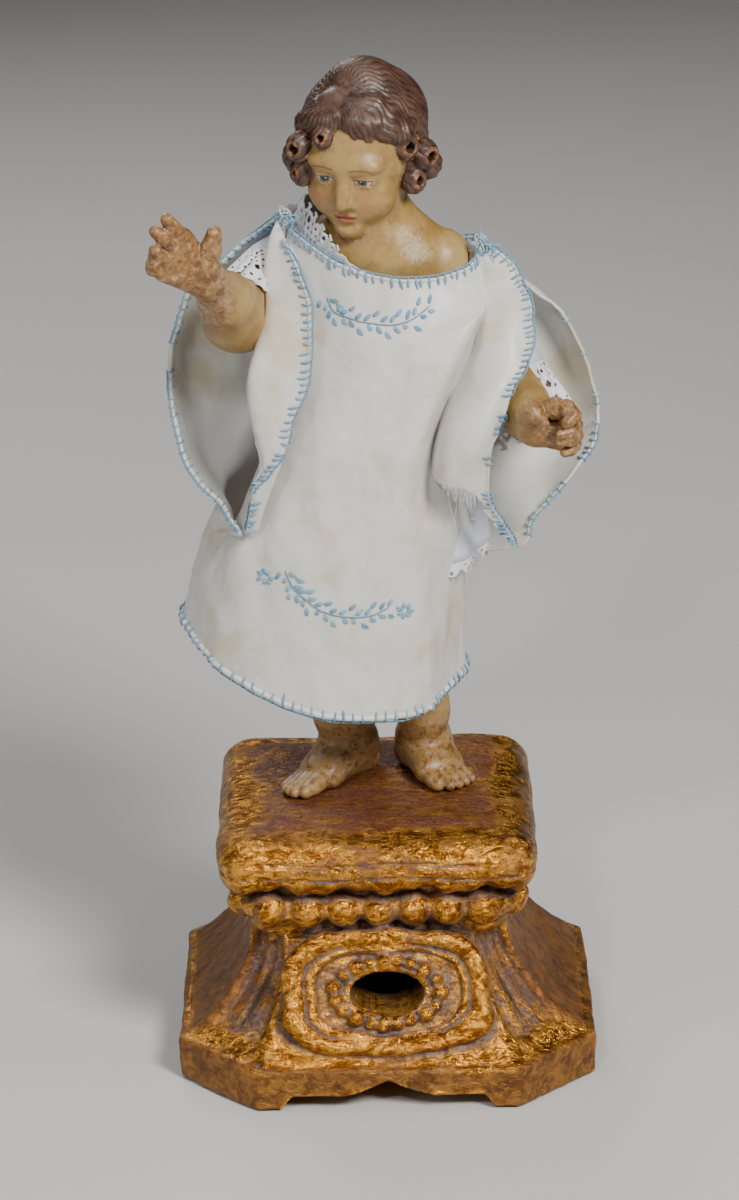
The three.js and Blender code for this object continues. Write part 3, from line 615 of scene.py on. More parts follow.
def hand_shape(p, side):
    """A hand: a bone to each knuckle, the fingers beyond and the thumb."""
    hand = PALMS[side]
    made = None
    for knuckle in hand["knuckles"]:
        bone = rod(p, hand["wrist"][:3], knuckle[:3], hand["wrist"][3], knuckle[3] + 1.0)
        made = bone if made is None else merge(made, bone, 1.6)
    if hand["grip"]:
        made = carve(made, chain(p, hand["grip"], 0.5), 1.2)
    for knuckle, finger in zip(hand["knuckles"], hand["fingers"]):
        made = merge(made, chain(p, [knuckle, *finger], 0.8), 1.0)
    return merge(made, chain(p, hand["thumb"], 2), 1.4)


# Feet: the heel, the ankle and each toe's [base, knuckle, tip].
FEET = [
    {
        "heel": [-9.5, 31, 106.6, 7.3],
        "ankle": [-13.5, 26, 114, 9.3],
        "toes": [
            [[-22, 8, 106, 5.0], [-28.6, -0.6, 104, 3.7], [-31.8, -4.2, 103.4, 3.2]],
            [[-25.4, 9, 106, 4.6], [-33.4, -1.2, 103.8, 2.9], [-36, -4.0, 102.9, 2.5]],
            [[-27.6, 11, 105.6, 4.4], [-35.4, 1, 103.4, 2.8], [-38, -1.6, 102.8, 2.4]],
            [[-28.6, 14, 105, 4.4], [-37, 4, 103, 2.7], [-39.6, 1.2, 102.6, 2.3]],
            [[-27.6, 18, 104.8, 4.6], [-37.2, 8.4, 102.8, 2.6], [-40.2, 5, 102.4, 2.2]],
        ],
    },
    {
        "heel": [13, 34, 106.6, 7.3],
        "ankle": [16.4, 28.4, 114, 9.2],
        "toes": [
            [[18.4, 12, 106, 5.2], [20.6, 4.6, 104, 3.8], [21.8, 1.4, 103.5, 3.2]],
            [[21.4, 13, 106, 4.6], [25.4, 4.8, 103.8, 2.9], [26.8, 1.6, 102.9, 2.5]],
            [[24, 14, 105.6, 4.4], [28.8, 6.6, 103.4, 2.8], [30.4, 3.6, 102.8, 2.4]],
            [[26.2, 16, 105, 4.4], [31.4, 9.4, 103, 2.7], [33, 6.4, 102.6, 2.3]],
            [[27, 20, 104.8, 4.6], [33.6, 13.6, 102.8, 2.6], [35.4, 10.8, 102.4, 2.2]],
        ],
    },
]


def foot_shape(p, foot):
    heel, ankle = foot["heel"], foot["ankle"]
    made = rod(p, heel[:3], ankle[:3], heel[3], ankle[3])
    for base, _, _ in foot["toes"]:
        made = merge(made, rod(p, heel[:3], base[:3], heel[3] - 0.4, base[3]), 3)
        made = merge(made, rod(p, ankle[:3], base[:3], ankle[3] - 0.5, base[3] - 0.4), 5)
    for toe in foot["toes"]:
        made = merge(made, chain(p, toe, 1) + 0.25, 0.4)
    return made


def trunk(p):
    d = chain(p, TORSO, 8)
    d = merge(d, chain(p, SHOULDERS, 9), 9)
    return merge(d, chain(p, NECK, 5), 7)


def arm(p, side):
    upper, wrist = ARMS[side]
    made = merge(chain(p, upper, 5), chain(p, wrist, 4), 0.6)
    return merge(made, hand_shape(p, side), 1.2)


def right_arm(p):
    return arm(p, "right")


def left_arm(p):
    return arm(p, "left")


def legs(p):
    d = np.minimum(chain(p, RIGHT_LEG, 6), chain(p, LEFT_LEG, 6))
    for foot in FEET:
        d = merge(d, foot_shape(p, foot), 3)
    return d


def head(p):
    return head_skin(to_head(p)) * HEAD_SCALE


def hair(p):
    return head_hair(to_head(p), p)


def carved(p, limbs):
    """The join of those parts of the figure, with the marks of the knife."""
    d = None
    for limb in limbs:
        d = limb(p) if d is None else merge(d, limb(p), 4)
    d = d + 0.12 * noise(p, 6.0, 11) + 0.07 * noise(p, 2.2, 12)
    return np.maximum(d, SOLE - p[:, 2])


# The figure is meshed zone by zone, finely where it shows. Zones meet under the clothes.
# Each zone is [lowest corner, highest corner, cell, parts of the figure that reach into it].
ZONE_OVERLAP = 0.6
HIDDEN_BOX = ([-62, -40, 100], [64, 48, 340])
ZONES = {
    "head": ([-42, -40, 313], [36, 46, 408], FINE, (trunk, right_arm, left_arm, head)),
    "right_hand": ([-92, -76, 286], [-43, 20, 366], HAND_FINE, (right_arm,)),
    "left_hand": ([44, -58, 248], [86, 20, 292], HAND_FINE, (left_arm,)),
    "feet": ([-46, -12, 99], [42, 48, 150], HAND_FINE, (legs,)),
}


def outside_zones(p):
    """How far inside the nearest fine zone a point is. The coarse body reaches a little into it."""
    deepest = np.full(len(p), -1e3)
    for low, high, cell, _ in ZONES.values():
        centre, half = np.add(low, high) / 2, np.subtract(high, low) / 2 - cell - ZONE_OVERLAP
        deepest = np.maximum(deepest, -np.max(np.abs(p - centre) - half, axis=1))
    return deepest


def hidden_body(p):
    return np.maximum(carved(p, (trunk, right_arm, left_arm, legs)), outside_zones(p))


NOT_HAIR = -9.0
FINE_REACH = 1.2
BROAD_REACH = 3.5
PEDESTAL_FINE_REACH = 1.6
PEDESTAL_BROAD_REACH = 5


def crease(field, p, out, reach):
    """0 on open surfaces to 1 in the hollows, as felt by a ball of size reach."""
    return np.clip(1 - field(p + out * reach) / reach, 0, 1.5)


def edge(field, p, out, reach):
    """0 on open surfaces to 1 on sharp edges."""
    return np.clip(1 + field(p - out * reach) / reach, 0, 1.5)


def build_figure(material):
    """The figure's mesh, with what its paint needs to know at each point."""
    points, faces = [], []
    notes = {name: [] for name in ("hair", "head", "crease", "hollow", "edge", "strand")}
    shift = 0
    for name, (low, high, cell, limbs) in ZONES.items():
        haired = name == "head"

        def shape(p):
            d = carved(p, limbs)
            return merge(d, hair(p), 0.35) if haired else d

        some, quads = surface(shape, low, high, cell)
        out = slopes(shape, some)
        local = to_head(some)
        notes["crease"].append(crease(shape, some, out, FINE_REACH))
        notes["hollow"].append(crease(shape, some, out, BROAD_REACH))
        notes["edge"].append(edge(shape, some, out, FINE_REACH))
        notes["hair"].append(carved(some, limbs) - hair(some) if haired else np.full(len(some), NOT_HAIR))
        notes["strand"].append(strand_relief(local) if haired else np.zeros(len(some)))
        notes["head"].append(local)
        points.append(some)
        faces.append(quads + shift)
        shift += len(some)
    some, quads = surface(hidden_body, *HIDDEN_BOX, COARSE)
    points.append(some)
    faces.append(quads + shift)
    for name, values in notes.items():
        blank = np.zeros((len(some), 3)) if name == "head" else np.zeros(len(some))
        values.append(blank + NOT_HAIR if name == "hair" else blank)
    points = on_cushion(np.concatenate(points))
    piece = new_piece("carved_figure", points, np.concatenate(faces), material)
    for name, values in notes.items():
        note(piece, name, np.concatenate(values))
    return piece


# The pedestal

PLATE_HALF = 83
PLATE_CUT = 31.5
PLATE_TOP = 17.5
NECK_HALF = 50
NECK_Z = 65
BODY_FLARE = 29
TOP_SHIFT = -3.2
BEAD_Z = 73.5
BEAD_PITCH = 14
BEAD_RING_HALF = 52.5
CUSHION_HALF = 63
CUSHION_BOTTOM = 83
CUSHION_TOP = 105.7
PEDESTAL_BOX = ([-85.5, -85.5, -2.2], [85.5, 85.5, 109])
PEDESTAL_CELL = 0.85
BEAD_RADII = (7.1, 7.6, 7.3)
CARTOUCHE = {"y": -66, "z": 43, "lean": 0.39, "half_width": 36.5, "half_height": 21}
WINDOW_HALF = (14.7, 8.2)
HOLLOW_TOP = 60
# Half widths at their heights: of the hollow, and of all that counts as its inside
HOLLOW_PROFILE = ([0, PLATE_TOP, 45, HOLLOW_TOP], [62, 60, 42, 38])
INSIDE_PROFILE = ([0, 18, 45, HOLLOW_TOP], [63, 61, 44, 40])
RIM_BEADS = 19


def boxed_square(p, half, cut, round_off=0.0):
    """A square in plan with straight-cut corners. p may be any points; z is ignored."""
    x, y = np.abs(p[:, 0]), np.abs(p[:, 1])
    sides = np.maximum(x, y) - half
    corner = (x + y - 2 * half + cut) * math.sqrt(0.5)
    if round_off > 0:
        return -merge(-sides, -corner, round_off)
    return np.maximum(sides, corner)


def soft_square(p, half, radius):
    """A square in plan with rounded corners."""
    x = np.maximum(np.abs(p[:, 0]) - half + radius, 0)
    y = np.maximum(np.abs(p[:, 1]) - half + radius, 0)
    inner = np.maximum(np.abs(p[:, 0]), np.abs(p[:, 1])) - half
    return np.where((x > 0) & (y > 0), np.sqrt(x * x + y * y) - radius, inner)


def slab(d, z, low, high, rounding):
    """A plan outline d as a solid between two heights, with rounded edges."""
    half = (high - low) / 2
    w = np.abs(z - (low + high) / 2) - half + rounding
    d = d + rounding
    return np.minimum(np.maximum(d, w), 0) + np.hypot(np.maximum(d, 0), np.maximum(w, 0)) - rounding


def flare(z):
    return np.clip(1 - (z - PLATE_TOP - 1) / (NECK_Z - PLATE_TOP - 1), 0, 1) ** 2.2


def onto_cartouche(p):
    """Points in the cartouche's own plane: across, up, out."""
    lean, cy, cz = CARTOUCHE["lean"], CARTOUCHE["y"], CARTOUCHE["z"]
    y, z = p[:, 1] - cy, p[:, 2] - cz
    up = y * math.sin(lean) + z * math.cos(lean)
    out = -y * math.cos(lean) + z * math.sin(lean)
    return np.column_stack([p[:, 0], up, out])


def squared_ring(q, half_width, half_height, squareness=2.7):
    """How far outside a squared oval, roughly in millimetres."""
    u, v = np.abs(q[:, 0]) / half_width, np.abs(q[:, 1]) / half_height
    level = (u ** squareness + v ** squareness) ** (1 / squareness)
    return (level - 1) * (half_width * u + half_height * v) / np.maximum(u + v, 1e-6)


def rim_beads():
    """The uneven beads round the window, [across, up, radius], nearly evenly spaced."""
    for k in range(RIM_BEADS):
        turn = 2 * math.pi * k / RIM_BEADS
        turn += 0.13 * math.sin(2 * turn)
        across = (21 + 0.6 * math.sin(2.3 * k)) * math.cos(turn)
        up = (12.3 + 0.5 * math.sin(5 * k)) * math.sin(turn)
        yield across, up, 2.95 + 0.45 * math.sin(3.7 * k + 1)


def cartouche_shape(p):
    q = onto_cartouche(p)
    wobble = 1.7 * noise(q, 13.0, 31) + 0.9 * noise(q, 5.0, 32)
    ring = squared_ring(q, CARTOUCHE["half_width"], CARTOUCHE["half_height"]) + wobble
    field = np.maximum(ring - 1, np.abs(q[:, 2] + 8) - 8)
    outer = np.hypot(ring - 1.4, q[:, 2] * 1.05) - 4.2
    inner = np.hypot(squared_ring(q, 31.2, 18, 2.5) + 0.8 * wobble, q[:, 2] - 0.5) - 1.7
    inner = inner - 0.9 * noise(q, 16.0, 35)
    made = merge(field, outer, 0.8)
    made = merge(made, inner, 0.6)
    for x, up, radius in rim_beads():
        made = merge(made, ellipsoid(q, (x, up, 1.0), (radius, radius * 0.95, radius)), 1.2)
    torn = 0.9 * noise(q, 2.4, 33) + 0.5 * noise(q, 1.1, 34)
    lip = np.hypot(np.hypot(q[:, 0] / 1.72, q[:, 1]) - 9.2, q[:, 2] - 0.8) - 1.3 + torn * 0.6
    return merge(made, lip, 0.8)


def body_section(p):
    """Points moved to where the body stands straight, with its half width and its corners' cut."""
    z = p[:, 2]
    lean = TOP_SHIFT * np.clip((z - PLATE_TOP) / (NECK_Z - PLATE_TOP), 0, 1)
    return p - np.outer(lean, (1, 0, 0)), NECK_HALF + BODY_FLARE * flare(z), 14 + 16 * flare(z)


def flutes(p):
    """How far across a corner's face a point is, 0 at its middle, and 1 in the sunk panel there."""
    q, _, cut = body_section(p)
    diagonal = np.abs(np.abs(q[:, 0]) - np.abs(q[:, 1])) * math.sqrt(0.5)
    share = diagonal / (cut * math.sqrt(0.5) + 3)
    panel = step(0.60, 0.53, share) * step(22, 23.4, q[:, 2]) * step(60, 57, q[:, 2])
    return share, panel


def pedestal_body(p):
    z = p[:, 2]
    q, half, cut = body_section(p)
    sides = boxed_square(q, half, cut)
    share, panel = flutes(p)
    inner_ridge = np.exp(-(((share - 0.2) / 0.09) ** 2))
    ribs = np.exp(-(((share - 0.74) / 0.11) ** 2)) * step(19, 30, z) * step(66, 60, z)
    relief = (2.6 - 0.9 * inner_ridge) * panel - 1.7 * ribs
    ribbed = sides + relief
    return np.maximum(ribbed * 0.8, np.maximum(z - NECK_Z - 3, PLATE_TOP - 2 - z))


def apron_gap(along, z):
    """The ogee cut-out between the feet. along is the distance from the middle."""
    a = np.abs(along)
    top = 6 + 6.5 * np.maximum(1 - a / 20, 0) ** 1.6 - 6 * step(37, 43.5, a)
    return np.maximum(z - top, a - 44) * 0.8


def under_cushion(p):
    """Points in the cushion's frame, how far along a side each is, and how far out."""
    q = p - (TOP_SHIFT, 0, 0)
    x, y = np.abs(q[:, 0]), np.abs(q[:, 1])
    return q, np.where(x < y, q[:, 0], q[:, 1]), np.maximum(x, y)


def bead_row(p):
    """The big beads below the cushion, and the roll that joins them."""
    q, along, out = under_cushion(p)
    z = p[:, 2]
    number = np.clip(np.round(along / BEAD_PITCH), -3, 3)
    side = np.where(np.abs(q[:, 0]) < np.abs(q[:, 1]), q[:, 1] > 0, 2 + (q[:, 0] > 0))
    odd = np.sin(number * 5.3 + side * 2.1 + 1)
    shifted = along - number * BEAD_PITCH - 0.5 * odd
    spot = np.column_stack([shifted, out - BEAD_RING_HALF, z - BEAD_Z + 0.4 * odd])
    beads = ellipsoid(spot, (0, 0, 0), BEAD_RADII) + 0.25 * odd + 0.45 * noise(p, 4.0, 24)
    roll = np.hypot(soft_square(q, BEAD_RING_HALF - 1.2, 9), z - BEAD_Z) - 4.9 + 0.5 * noise(p, 5.0, 25)
    return beads, roll


def cushion(p):
    """The carved cushion, with a wavy foot and two cut lines round its rim."""
    q, along, out = under_cushion(p)
    z = p[:, 2]
    wave = 1.4 * np.sin(along * 0.22 + 1) + 0.8 * np.sin(along * 0.55)
    dome = 3.2 * step(34, 66, out)
    lifted = z + wave * step(94, 86, z) + dome * step(90, 102, z)
    waver = 0.6 * np.sin(along * 0.11 + 0.6)
    low_line = step(0.9, 0.2, np.abs(z - 90.2 - waver))
    high_line = step(1.1, 0.2, np.abs(z - 96 - waver)) * step(58, 40, np.abs(along + 4))
    rim = step(CUSHION_HALF - 5, CUSHION_HALF - 1, out)
    made = slab(soft_square(q, CUSHION_HALF + 0.5, 15), lifted, CUSHION_BOTTOM - 0.5, CUSHION_TOP, 9.6)
    return made + (0.8 * low_line + 1.0 * high_line) * rim


def pedestal_shape(p):
    z = p[:, 2]
    plate = slab(boxed_square(p, PLATE_HALF, PLATE_CUT), z, 0, PLATE_TOP, 1.4)
    border = boxed_square(p, PLATE_HALF - 4.5, PLATE_CUT - 3.4)
    plate = np.maximum(plate, -np.maximum(border, PLATE_TOP - 1.1 - z) * 0.7)
    made = merge(plate, pedestal_body(p), 2.0)
    q = under_cushion(p)[0]
    neck = slab(soft_square(q, BEAD_RING_HALF - 1.5, 12), z, NECK_Z - 3, CUSHION_BOTTOM + 2, 1.5)
    made = merge(made, neck, 1.5)
    beads, roll = bead_row(p)
    made = merge(merge(made, beads, 0.7), roll, 1.2)
    made = merge(made, cushion(p), 0.8)
    worn = 0.55 * noise(p, 17.0, 21) + 0.3 * noise(p, 6.5, 22) + 0.12 * noise(p, 2.6, 23)
    made = np.maximum(made + worn, z - CUSHION_TOP)
    made = merge(made, cartouche_shape(p) + 0.35 * worn, 1.2)
    window = 9 * (np.hypot(p[:, 0] / WINDOW_HALF[0], (z - CARTOUCHE["z"]) / WINDOW_HALF[1]) - 1)
    made = np.maximum(made, -np.maximum(window, p[:, 1] + 20))
    hollow = np.maximum(boxed_square(p, np.interp(z, *HOLLOW_PROFILE), 14), z - HOLLOW_TOP)
    made = np.maximum(made, -hollow * 0.85)
    for along in (p[:, 0], p[:, 1]):
        made = np.maximum(made, -apron_gap(along, z))
    return np.maximum(made, -z)


def dirty_recess(p):
    """1 in the flutes' panels and in the trough round the beads, where dirt has settled."""
    q = onto_cartouche(p)
    level = np.hypot(q[:, 0] / 30, q[:, 1] / 17)
    trough = step(1.0, 0.92, level) * step(0.45, 0.55, level) * step(8, 6, np.abs(q[:, 2]))
    _, panel = flutes(p)
    return np.maximum(trough * step(1.6, 0.4, q[:, 2]), panel)


def inside_hollow(p):
    """Whether points are on the walls of the hollow beneath."""
    out = np.maximum(np.abs(p[:, 0] - TOP_SHIFT / 2), np.abs(p[:, 1]))
    return (out < np.interp(p[:, 2], *INSIDE_PROFILE)) & (p[:, 2] < HOLLOW_TOP + 1)


def build_pedestal(material):
    points, faces = surface(pedestal_shape, *PEDESTAL_BOX, PEDESTAL_CELL)
    out = slopes(pedestal_shape, points)
    piece = new_piece("gilded_pedestal", points, faces, material)
    note(piece, "crease", crease(pedestal_shape, points, out, PEDESTAL_FINE_REACH))
    note(piece, "hollow", crease(pedestal_shape, points, out, PEDESTAL_BROAD_REACH))
    note(piece, "edge", edge(pedestal_shape, points, out, PEDESTAL_FINE_REACH))
    note(piece, "recess", dirty_recess(points))
    note(piece, "inside", inside_hollow(points))
    return piece


# The robe. Rings are [centre x, centre y, half width, half depth, height, then how the height varies
# with the sine, the cosine and the double cosine of the angle]. The angle is 0 in front, and grows
# towards +X.

ROBE_RINGS = [
    [3.5, 17, 39, 27, 329.65, -7, -7.2, -2.85],
    [0, 17, 44, 31, 300, -2, -2, 0],
    [-3, 15, 45, 35, 270, 0, 0, 0],
    [-8, 11.5, 48, 38.5, 240, 0, 0, 0],
    [-18.5, 10.5, 51.5, 41.5, 200, -6, -2, 0],
    [-23, 10, 57, 42, 156.35, -12.5, -4.8, -5.15],
]
# The rings' heights, from the hem up, and how far down the robe each is
HEIGHTS = [156.35, 200, 240, 270, 300, 329.65]
SHARES = [1, 0.8, 0.6, 0.4, 0.2, 0]
# Shares of the way down the robe: the tips of its two sleeves, where its right side is closed below
# them, the neckline behind, and the top of the piece beside the tear
LEFT_TIP = 0.705
RIGHT_TIP = 0.76
RIGHT_CLOSED = 0.86
BACK_NECK = 0.075
TONGUE_TOP = 0.5


def ring_spot(rings, t, degrees, out=0.0):
    """Points on a garment's rings, t of the way down, at those angles."""
    row = through(rings, t)
    angle = np.radians(degrees)
    sine, cosine = np.sin(angle), np.cos(angle)
    x = row[..., 0] + (row[..., 2] + out) * sine
    y = row[..., 1] - (row[..., 3] + out) * cosine
    z = row[..., 4] + row[..., 5] * sine + row[..., 6] * cosine + row[..., 7] * np.cos(2 * angle)
    return np.stack([x, y, z], -1)


def ring_place(t, x, y):
    """The angle of a point, and how far outside the robe's ring at t it lies."""
    row = through(ROBE_RINGS, t)
    out = 0.0
    for _ in range(40):
        level = math.hypot((x - row[0]) / (row[2] + out), (row[1] - y) / (row[3] + out))
        out += (level - 1) * min(row[2], row[3]) * 0.7
    return math.degrees(math.atan2((x - row[0]) / (row[2] + out), (row[1] - y) / (row[3] + out))), out


def measured(points):
    """Rows [t, x, y, z] for points [x, y, z] that run down the robe."""
    return [[float(np.interp(z, HEIGHTS, SHARES)), x, y, z] for x, y, z in points]


def ringed(*stops):
    """Rows [t, x, y, z] for stops (t, degrees, out) on the robe's rings."""
    return [[t, *ring_spot(ROBE_RINGS, t, degrees, out)] for t, degrees, out in stops]


# The lines that the robe hangs in, from the shoulder to the hem.
SEAM_LEFT = ringed(
    (0, -78, 0), (0.14, -66, 0), (0.3, -60, 0), (0.54, -58, 0), (0.66, -60, 0), (0.72, -63, 0),
    (0.85, -72, 0), (1, -80, 0),
)
CREST = ringed((0, 52, 0), (0.07, 51, 3.5)) + measured([
    [40.0, -9.5, 306.6], [33.6, -15.5, 301.3], [28.6, -20, 292.1], [24.8, -23, 282.3],
    [19.4, -26, 269], [14.4, -28, 255.2], [11.0, -29, 241.1], [9.8, -30, 226.9], [9.8, -30, 217.7],
]) + ringed((0.82, 34, 4), (0.92, 34, 1), (1, 34, 0.5))
VALLEY = ringed((0, 60, 0), (0.07, 58.5, 3)) + measured([
    [41.2, -7, 304], [38, -7.5, 297], [34.6, -8, 288], [31.0, -9, 279.5], [26.6, -10.5, 270],
    [21.4, -13, 255], [19.4, -16, 240], [19.2, -21.5, 228], [18.6, -25, 218],
]) + ringed((0.82, 43, 2.5), (0.92, 44, 1), (1, 44, 1))
LIMB = ringed((0, 68, 0), (0.07, 64, 3)) + measured([
    [43.3, -9, 304], [41.0, -14, 297.5], [38.6, -18, 287.5], [35.7, -22, 280], [31.2, -26, 272.1],
    [26.4, -29, 263.2], [24.1, -30, 253.6], [23.6, -30, 244.6], [25.6, -29, 236],
    [36, -22, 222], [50, -11, 211], [54.2, -8.6, 207.6],
])
RIGHT_EDGE = [[0, 41, 8, 329]] + measured([
    [52.5, 5, 320.5], [56, 2, 314.5], [59.1, -6, 308.7], [59.8, -10, 302.7], [60, -14, 296.7],
    [59, -18, 290.8], [55.8, -23, 285.2], [51.8, -27, 280.2], [48.2, -30, 268.6],
    [43.5, -30, 257.9], [42.2, -29, 248.5], [42.3, -26, 236.6], [45, -22, 228.8],
    [51.3, -14, 215.8], [55, -9, 208],
])
LEFT_EDGE = [[0, -35.5, 3, 341]] + measured([
    [-34.5, -10, 334], [-29.3, -19, 324.7], [-25.9, -23, 314.9], [-25.9, -25, 304.5],
    [-26.7, -27, 290.4], [-28.7, -28, 279.8], [-33.7, -30, 269.4], [-35.6, -31, 261.4],
    [-38.9, -31, 251.3], [-42.3, -29, 241.3], [-48.2, -23, 221.5],
])
LEFT_FOLD = [[0, -38, 5, 340]] + measured([
    [-43, -9, 326.7], [-43.2, -19, 310.3], [-47.4, -24, 295.4], [-50.1, -27, 286.2],
    [-51, -28, 277.3], [-49.3, -29, 265.6], [-46.5, -29, 249.8], [-49.4, -28, 242.9],
    [-50.7, -26, 232.9], [-52.5, -22, 220.2],
])
BACK_LEFT = [[0, -36, 8, 341.5]] + measured([
    [-49, 19, 329], [-59, 21, 320], [-75, 22, 306], [-81, 20, 291], [-83, 15, 276],
    [-80, 8, 253], [-75, 0, 239], [-63, -12, 229], [-53.5, -21, 219],
]) + ringed((0.74, -63, 0), (0.85, -72, 0), (1, -80, 0))
BACK_LEFT_MIDDLE = [[0, -37, 17, 335]] + measured([
    [-62, 33, 308], [-70, 38, 286], [-72, 33, 258], [-69, 16, 238], [-57, -13, 221.5],
]) + ringed((0.76, -78, 0), (0.85, -84, 0), (1, -90, 0))
BACK_LEFT_ROOT = ringed(
    (0, -104, -1), (0.14, -122, 0), (0.3, -126, 0), (0.44, -120, 0), (0.56, -108, 0), (0.66, -94, 0),
    (0.76, -96, 0), (1, -108, 0),
)
BACK_RIGHT_ROOT = ringed(
    (0, 104, -1), (0.16, 122, 0), (0.3, 126, 0), (0.44, 124, 0), (0.56, 118, 0), (0.74, 112, 0),
    (1, 112, 0),
)
BACK_RIGHT_MIDDLE = [[0, 42, 18, 324]] + measured([
    [66, 38, 295], [73, 42, 272], [74, 37, 250], [66, 24, 228], [54, 4, 213],
]) + ringed((0.8, 102, 0), (1, 102, 0))
BACK_RIGHT = [[0, 41, 10, 329]] + measured([
    [60, 24, 306], [74, 28, 293], [81, 28, 280], [85.5, 26, 264], [87, 24, 254], [84, 18, 241],
    [71, 8, 226], [61, 0, 216], [56, -7, 208],
]) + ringed((0.8, 93, 0), (1, 90, 0))
TORN_SIDE = ringed(
    (0.45, 52, -2), (0.56, 55, -2), (0.64, 59, 0), (0.69, 73, 0), (0.75, 87, 1), (0.8, 90, 0),
    (0.9, 90, 0), (1, 90, 0),
)


def back_line(degrees):
    """A line down the back, from a neckline that hangs lower than the front's."""
    rows = ringed(*[(max(t, BACK_NECK), degrees, 0) for t in SHARES[::-1]])
    return [[t, *spot] for t, (_, *spot) in zip(SHARES[::-1], rows)]


BACK_LEFT_MIDST = back_line(-152)
BACK_MIDDLE = back_line(180)
BACK_RIGHT_MIDST = back_line(152)


def between(one, two, share, push=(0.0, 0.0, 0.0)):
    """Rows part of the way from one line to another, pushed out by push in their middle."""
    ts = sorted({row[0] for row in one} | {row[0] for row in two})
    ts = [t for t in ts if t <= min(one[-1][0], two[-1][0]) + 1e-6]
    a, b = track(one, np.array(ts)), track(two, np.array(ts))
    bulge = np.sin(np.pi * np.array(ts) / max(ts))[:, None] * np.array(push)
    return [[t, *spot] for t, spot in zip(ts, a + (b - a) * share + bulge)]


def front_line(share):
    """A line of the front, share of the way from the left seam to the crest."""
    rows = []
    for t in np.linspace(0, 1, 21):
        left = ring_place(t, *track(SEAM_LEFT, t)[:2])
        crest = ring_place(t, *track(CREST, t)[:2])
        angle = left[0] + (crest[0] - left[0]) * share
        out = crest[1] * share ** 3.5
        rows.append([t, *ring_spot(ROBE_RINGS, t, angle, out)])
    return rows


def grid(lines, columns, ts):
    """Points through lines that run down the cloth: one row of points for each t."""
    curves = np.stack([track(line, ts) for line in lines])
    us = np.concatenate([np.arange(n) / n + k for k, n in enumerate(columns)] + [[len(columns)]])
    return spline(curves, us).transpose(1, 0, 2)


def rumple(points, axis=(-8, 14), strength=1.0):
    """Small wrinkles, pushed straight out from the body's axis."""
    flat = points.reshape(-1, 3)
    away = units(flat[:, :2] - axis)
    stretched = flat * (1, 1, 0.45)
    height = 1.1 * noise(stretched, 19, 41) + 0.7 * noise(stretched, 8, 42)
    height += 0.2 * noise(flat, 3.4, 43)
    moved = flat.copy()
    moved[:, :2] += away * (strength * height)[:, None]
    return moved.reshape(points.shape)


ROBE_RUMPLE = 1.35


def robe_grids():
    """The robe's sheets by name. Neighbours share the points of their common line."""
    all_down = np.linspace(0, 1, 107)
    flap_end = all_down[all_down <= RIGHT_TIP + 0.004]
    strip_end = all_down[all_down <= LEFT_TIP + 0.004]
    tongue_down = all_down[all_down >= TONGUE_TOP]
    fronts = [front_line(k / 6) for k in range(6)]
    parts = {
        "front": grid([*fronts, CREST, VALLEY], [9] * 7, all_down),
        "flap": grid(
            [VALLEY, LIMB, between(LIMB, RIGHT_EDGE, 0.5, (0.6, -5, 0)), RIGHT_EDGE],
            [7, 7, 8], flap_end,
        ),
        "tongue": grid(
            [VALLEY, between(VALLEY, TORN_SIDE, 0.5, (2, -4, 0)), TORN_SIDE], [11, 11], tongue_down,
        ),
        "strip": grid(
            [LEFT_EDGE, between(LEFT_EDGE, LEFT_FOLD, 0.5, (0, -2.5, 0)), LEFT_FOLD,
             between(LEFT_FOLD, SEAM_LEFT, 0.5, (-1, 0, 0)), SEAM_LEFT],
            [7, 7, 6, 6], strip_end,
        ),
        "back": grid(
            [BACK_LEFT, BACK_LEFT_MIDDLE, BACK_LEFT_ROOT,
             BACK_LEFT_MIDST, BACK_MIDDLE, BACK_RIGHT_MIDST,
             BACK_RIGHT_ROOT, BACK_RIGHT_MIDDLE, BACK_RIGHT],
            [14, 14, 16, 14, 14, 16, 14, 14], all_down,
        ),
    }
    front, back, tongue = parts["front"], parts["back"], parts["tongue"]
    parts["strip"][:, -1] = front[:len(strip_end), 0]
    closed_left = all_down > LEFT_TIP + 0.02
    back[closed_left, 0] = front[closed_left, 0]
    closed_right = all_down > RIGHT_CLOSED
    back[closed_right, -1] = tongue[-closed_right.sum():, -1]
    return {name: rumple(points, strength=ROBE_RUMPLE) for name, points in parts.items()}


# Where the tear in the flap starts, and how steeply it falls
TEAR_X = 23
TEAR_Z = 241.5
TEAR_FALL = 0.33


def torn_away(name, points):
    """Whether each small square of a sheet of the robe is missing. Only the flap is torn."""
    middle = (points[:-1, :-1] + points[1:, 1:]) / 2
    x, z = middle[..., 0], middle[..., 2]
    if name != "flap":
        return np.zeros(x.shape, bool)
    flat = middle.reshape(-1, 3)
    fray = (1.6 * noise(flat, 3.2, 51) + 1.2 * noise(flat, 1.2, 52)).reshape(x.shape)
    across = np.linspace(0, 1, middle.shape[1])[None, :]
    tear = TEAR_Z - TEAR_FALL * (x - TEAR_X)
    return (z < tear + fray) & (across < 0.80 - 0.02 * fray)


# Sheets whose columns run the other way round the body than their neighbours' do
AGAINST = ("back",)
JOINED_WITHIN = 0.02


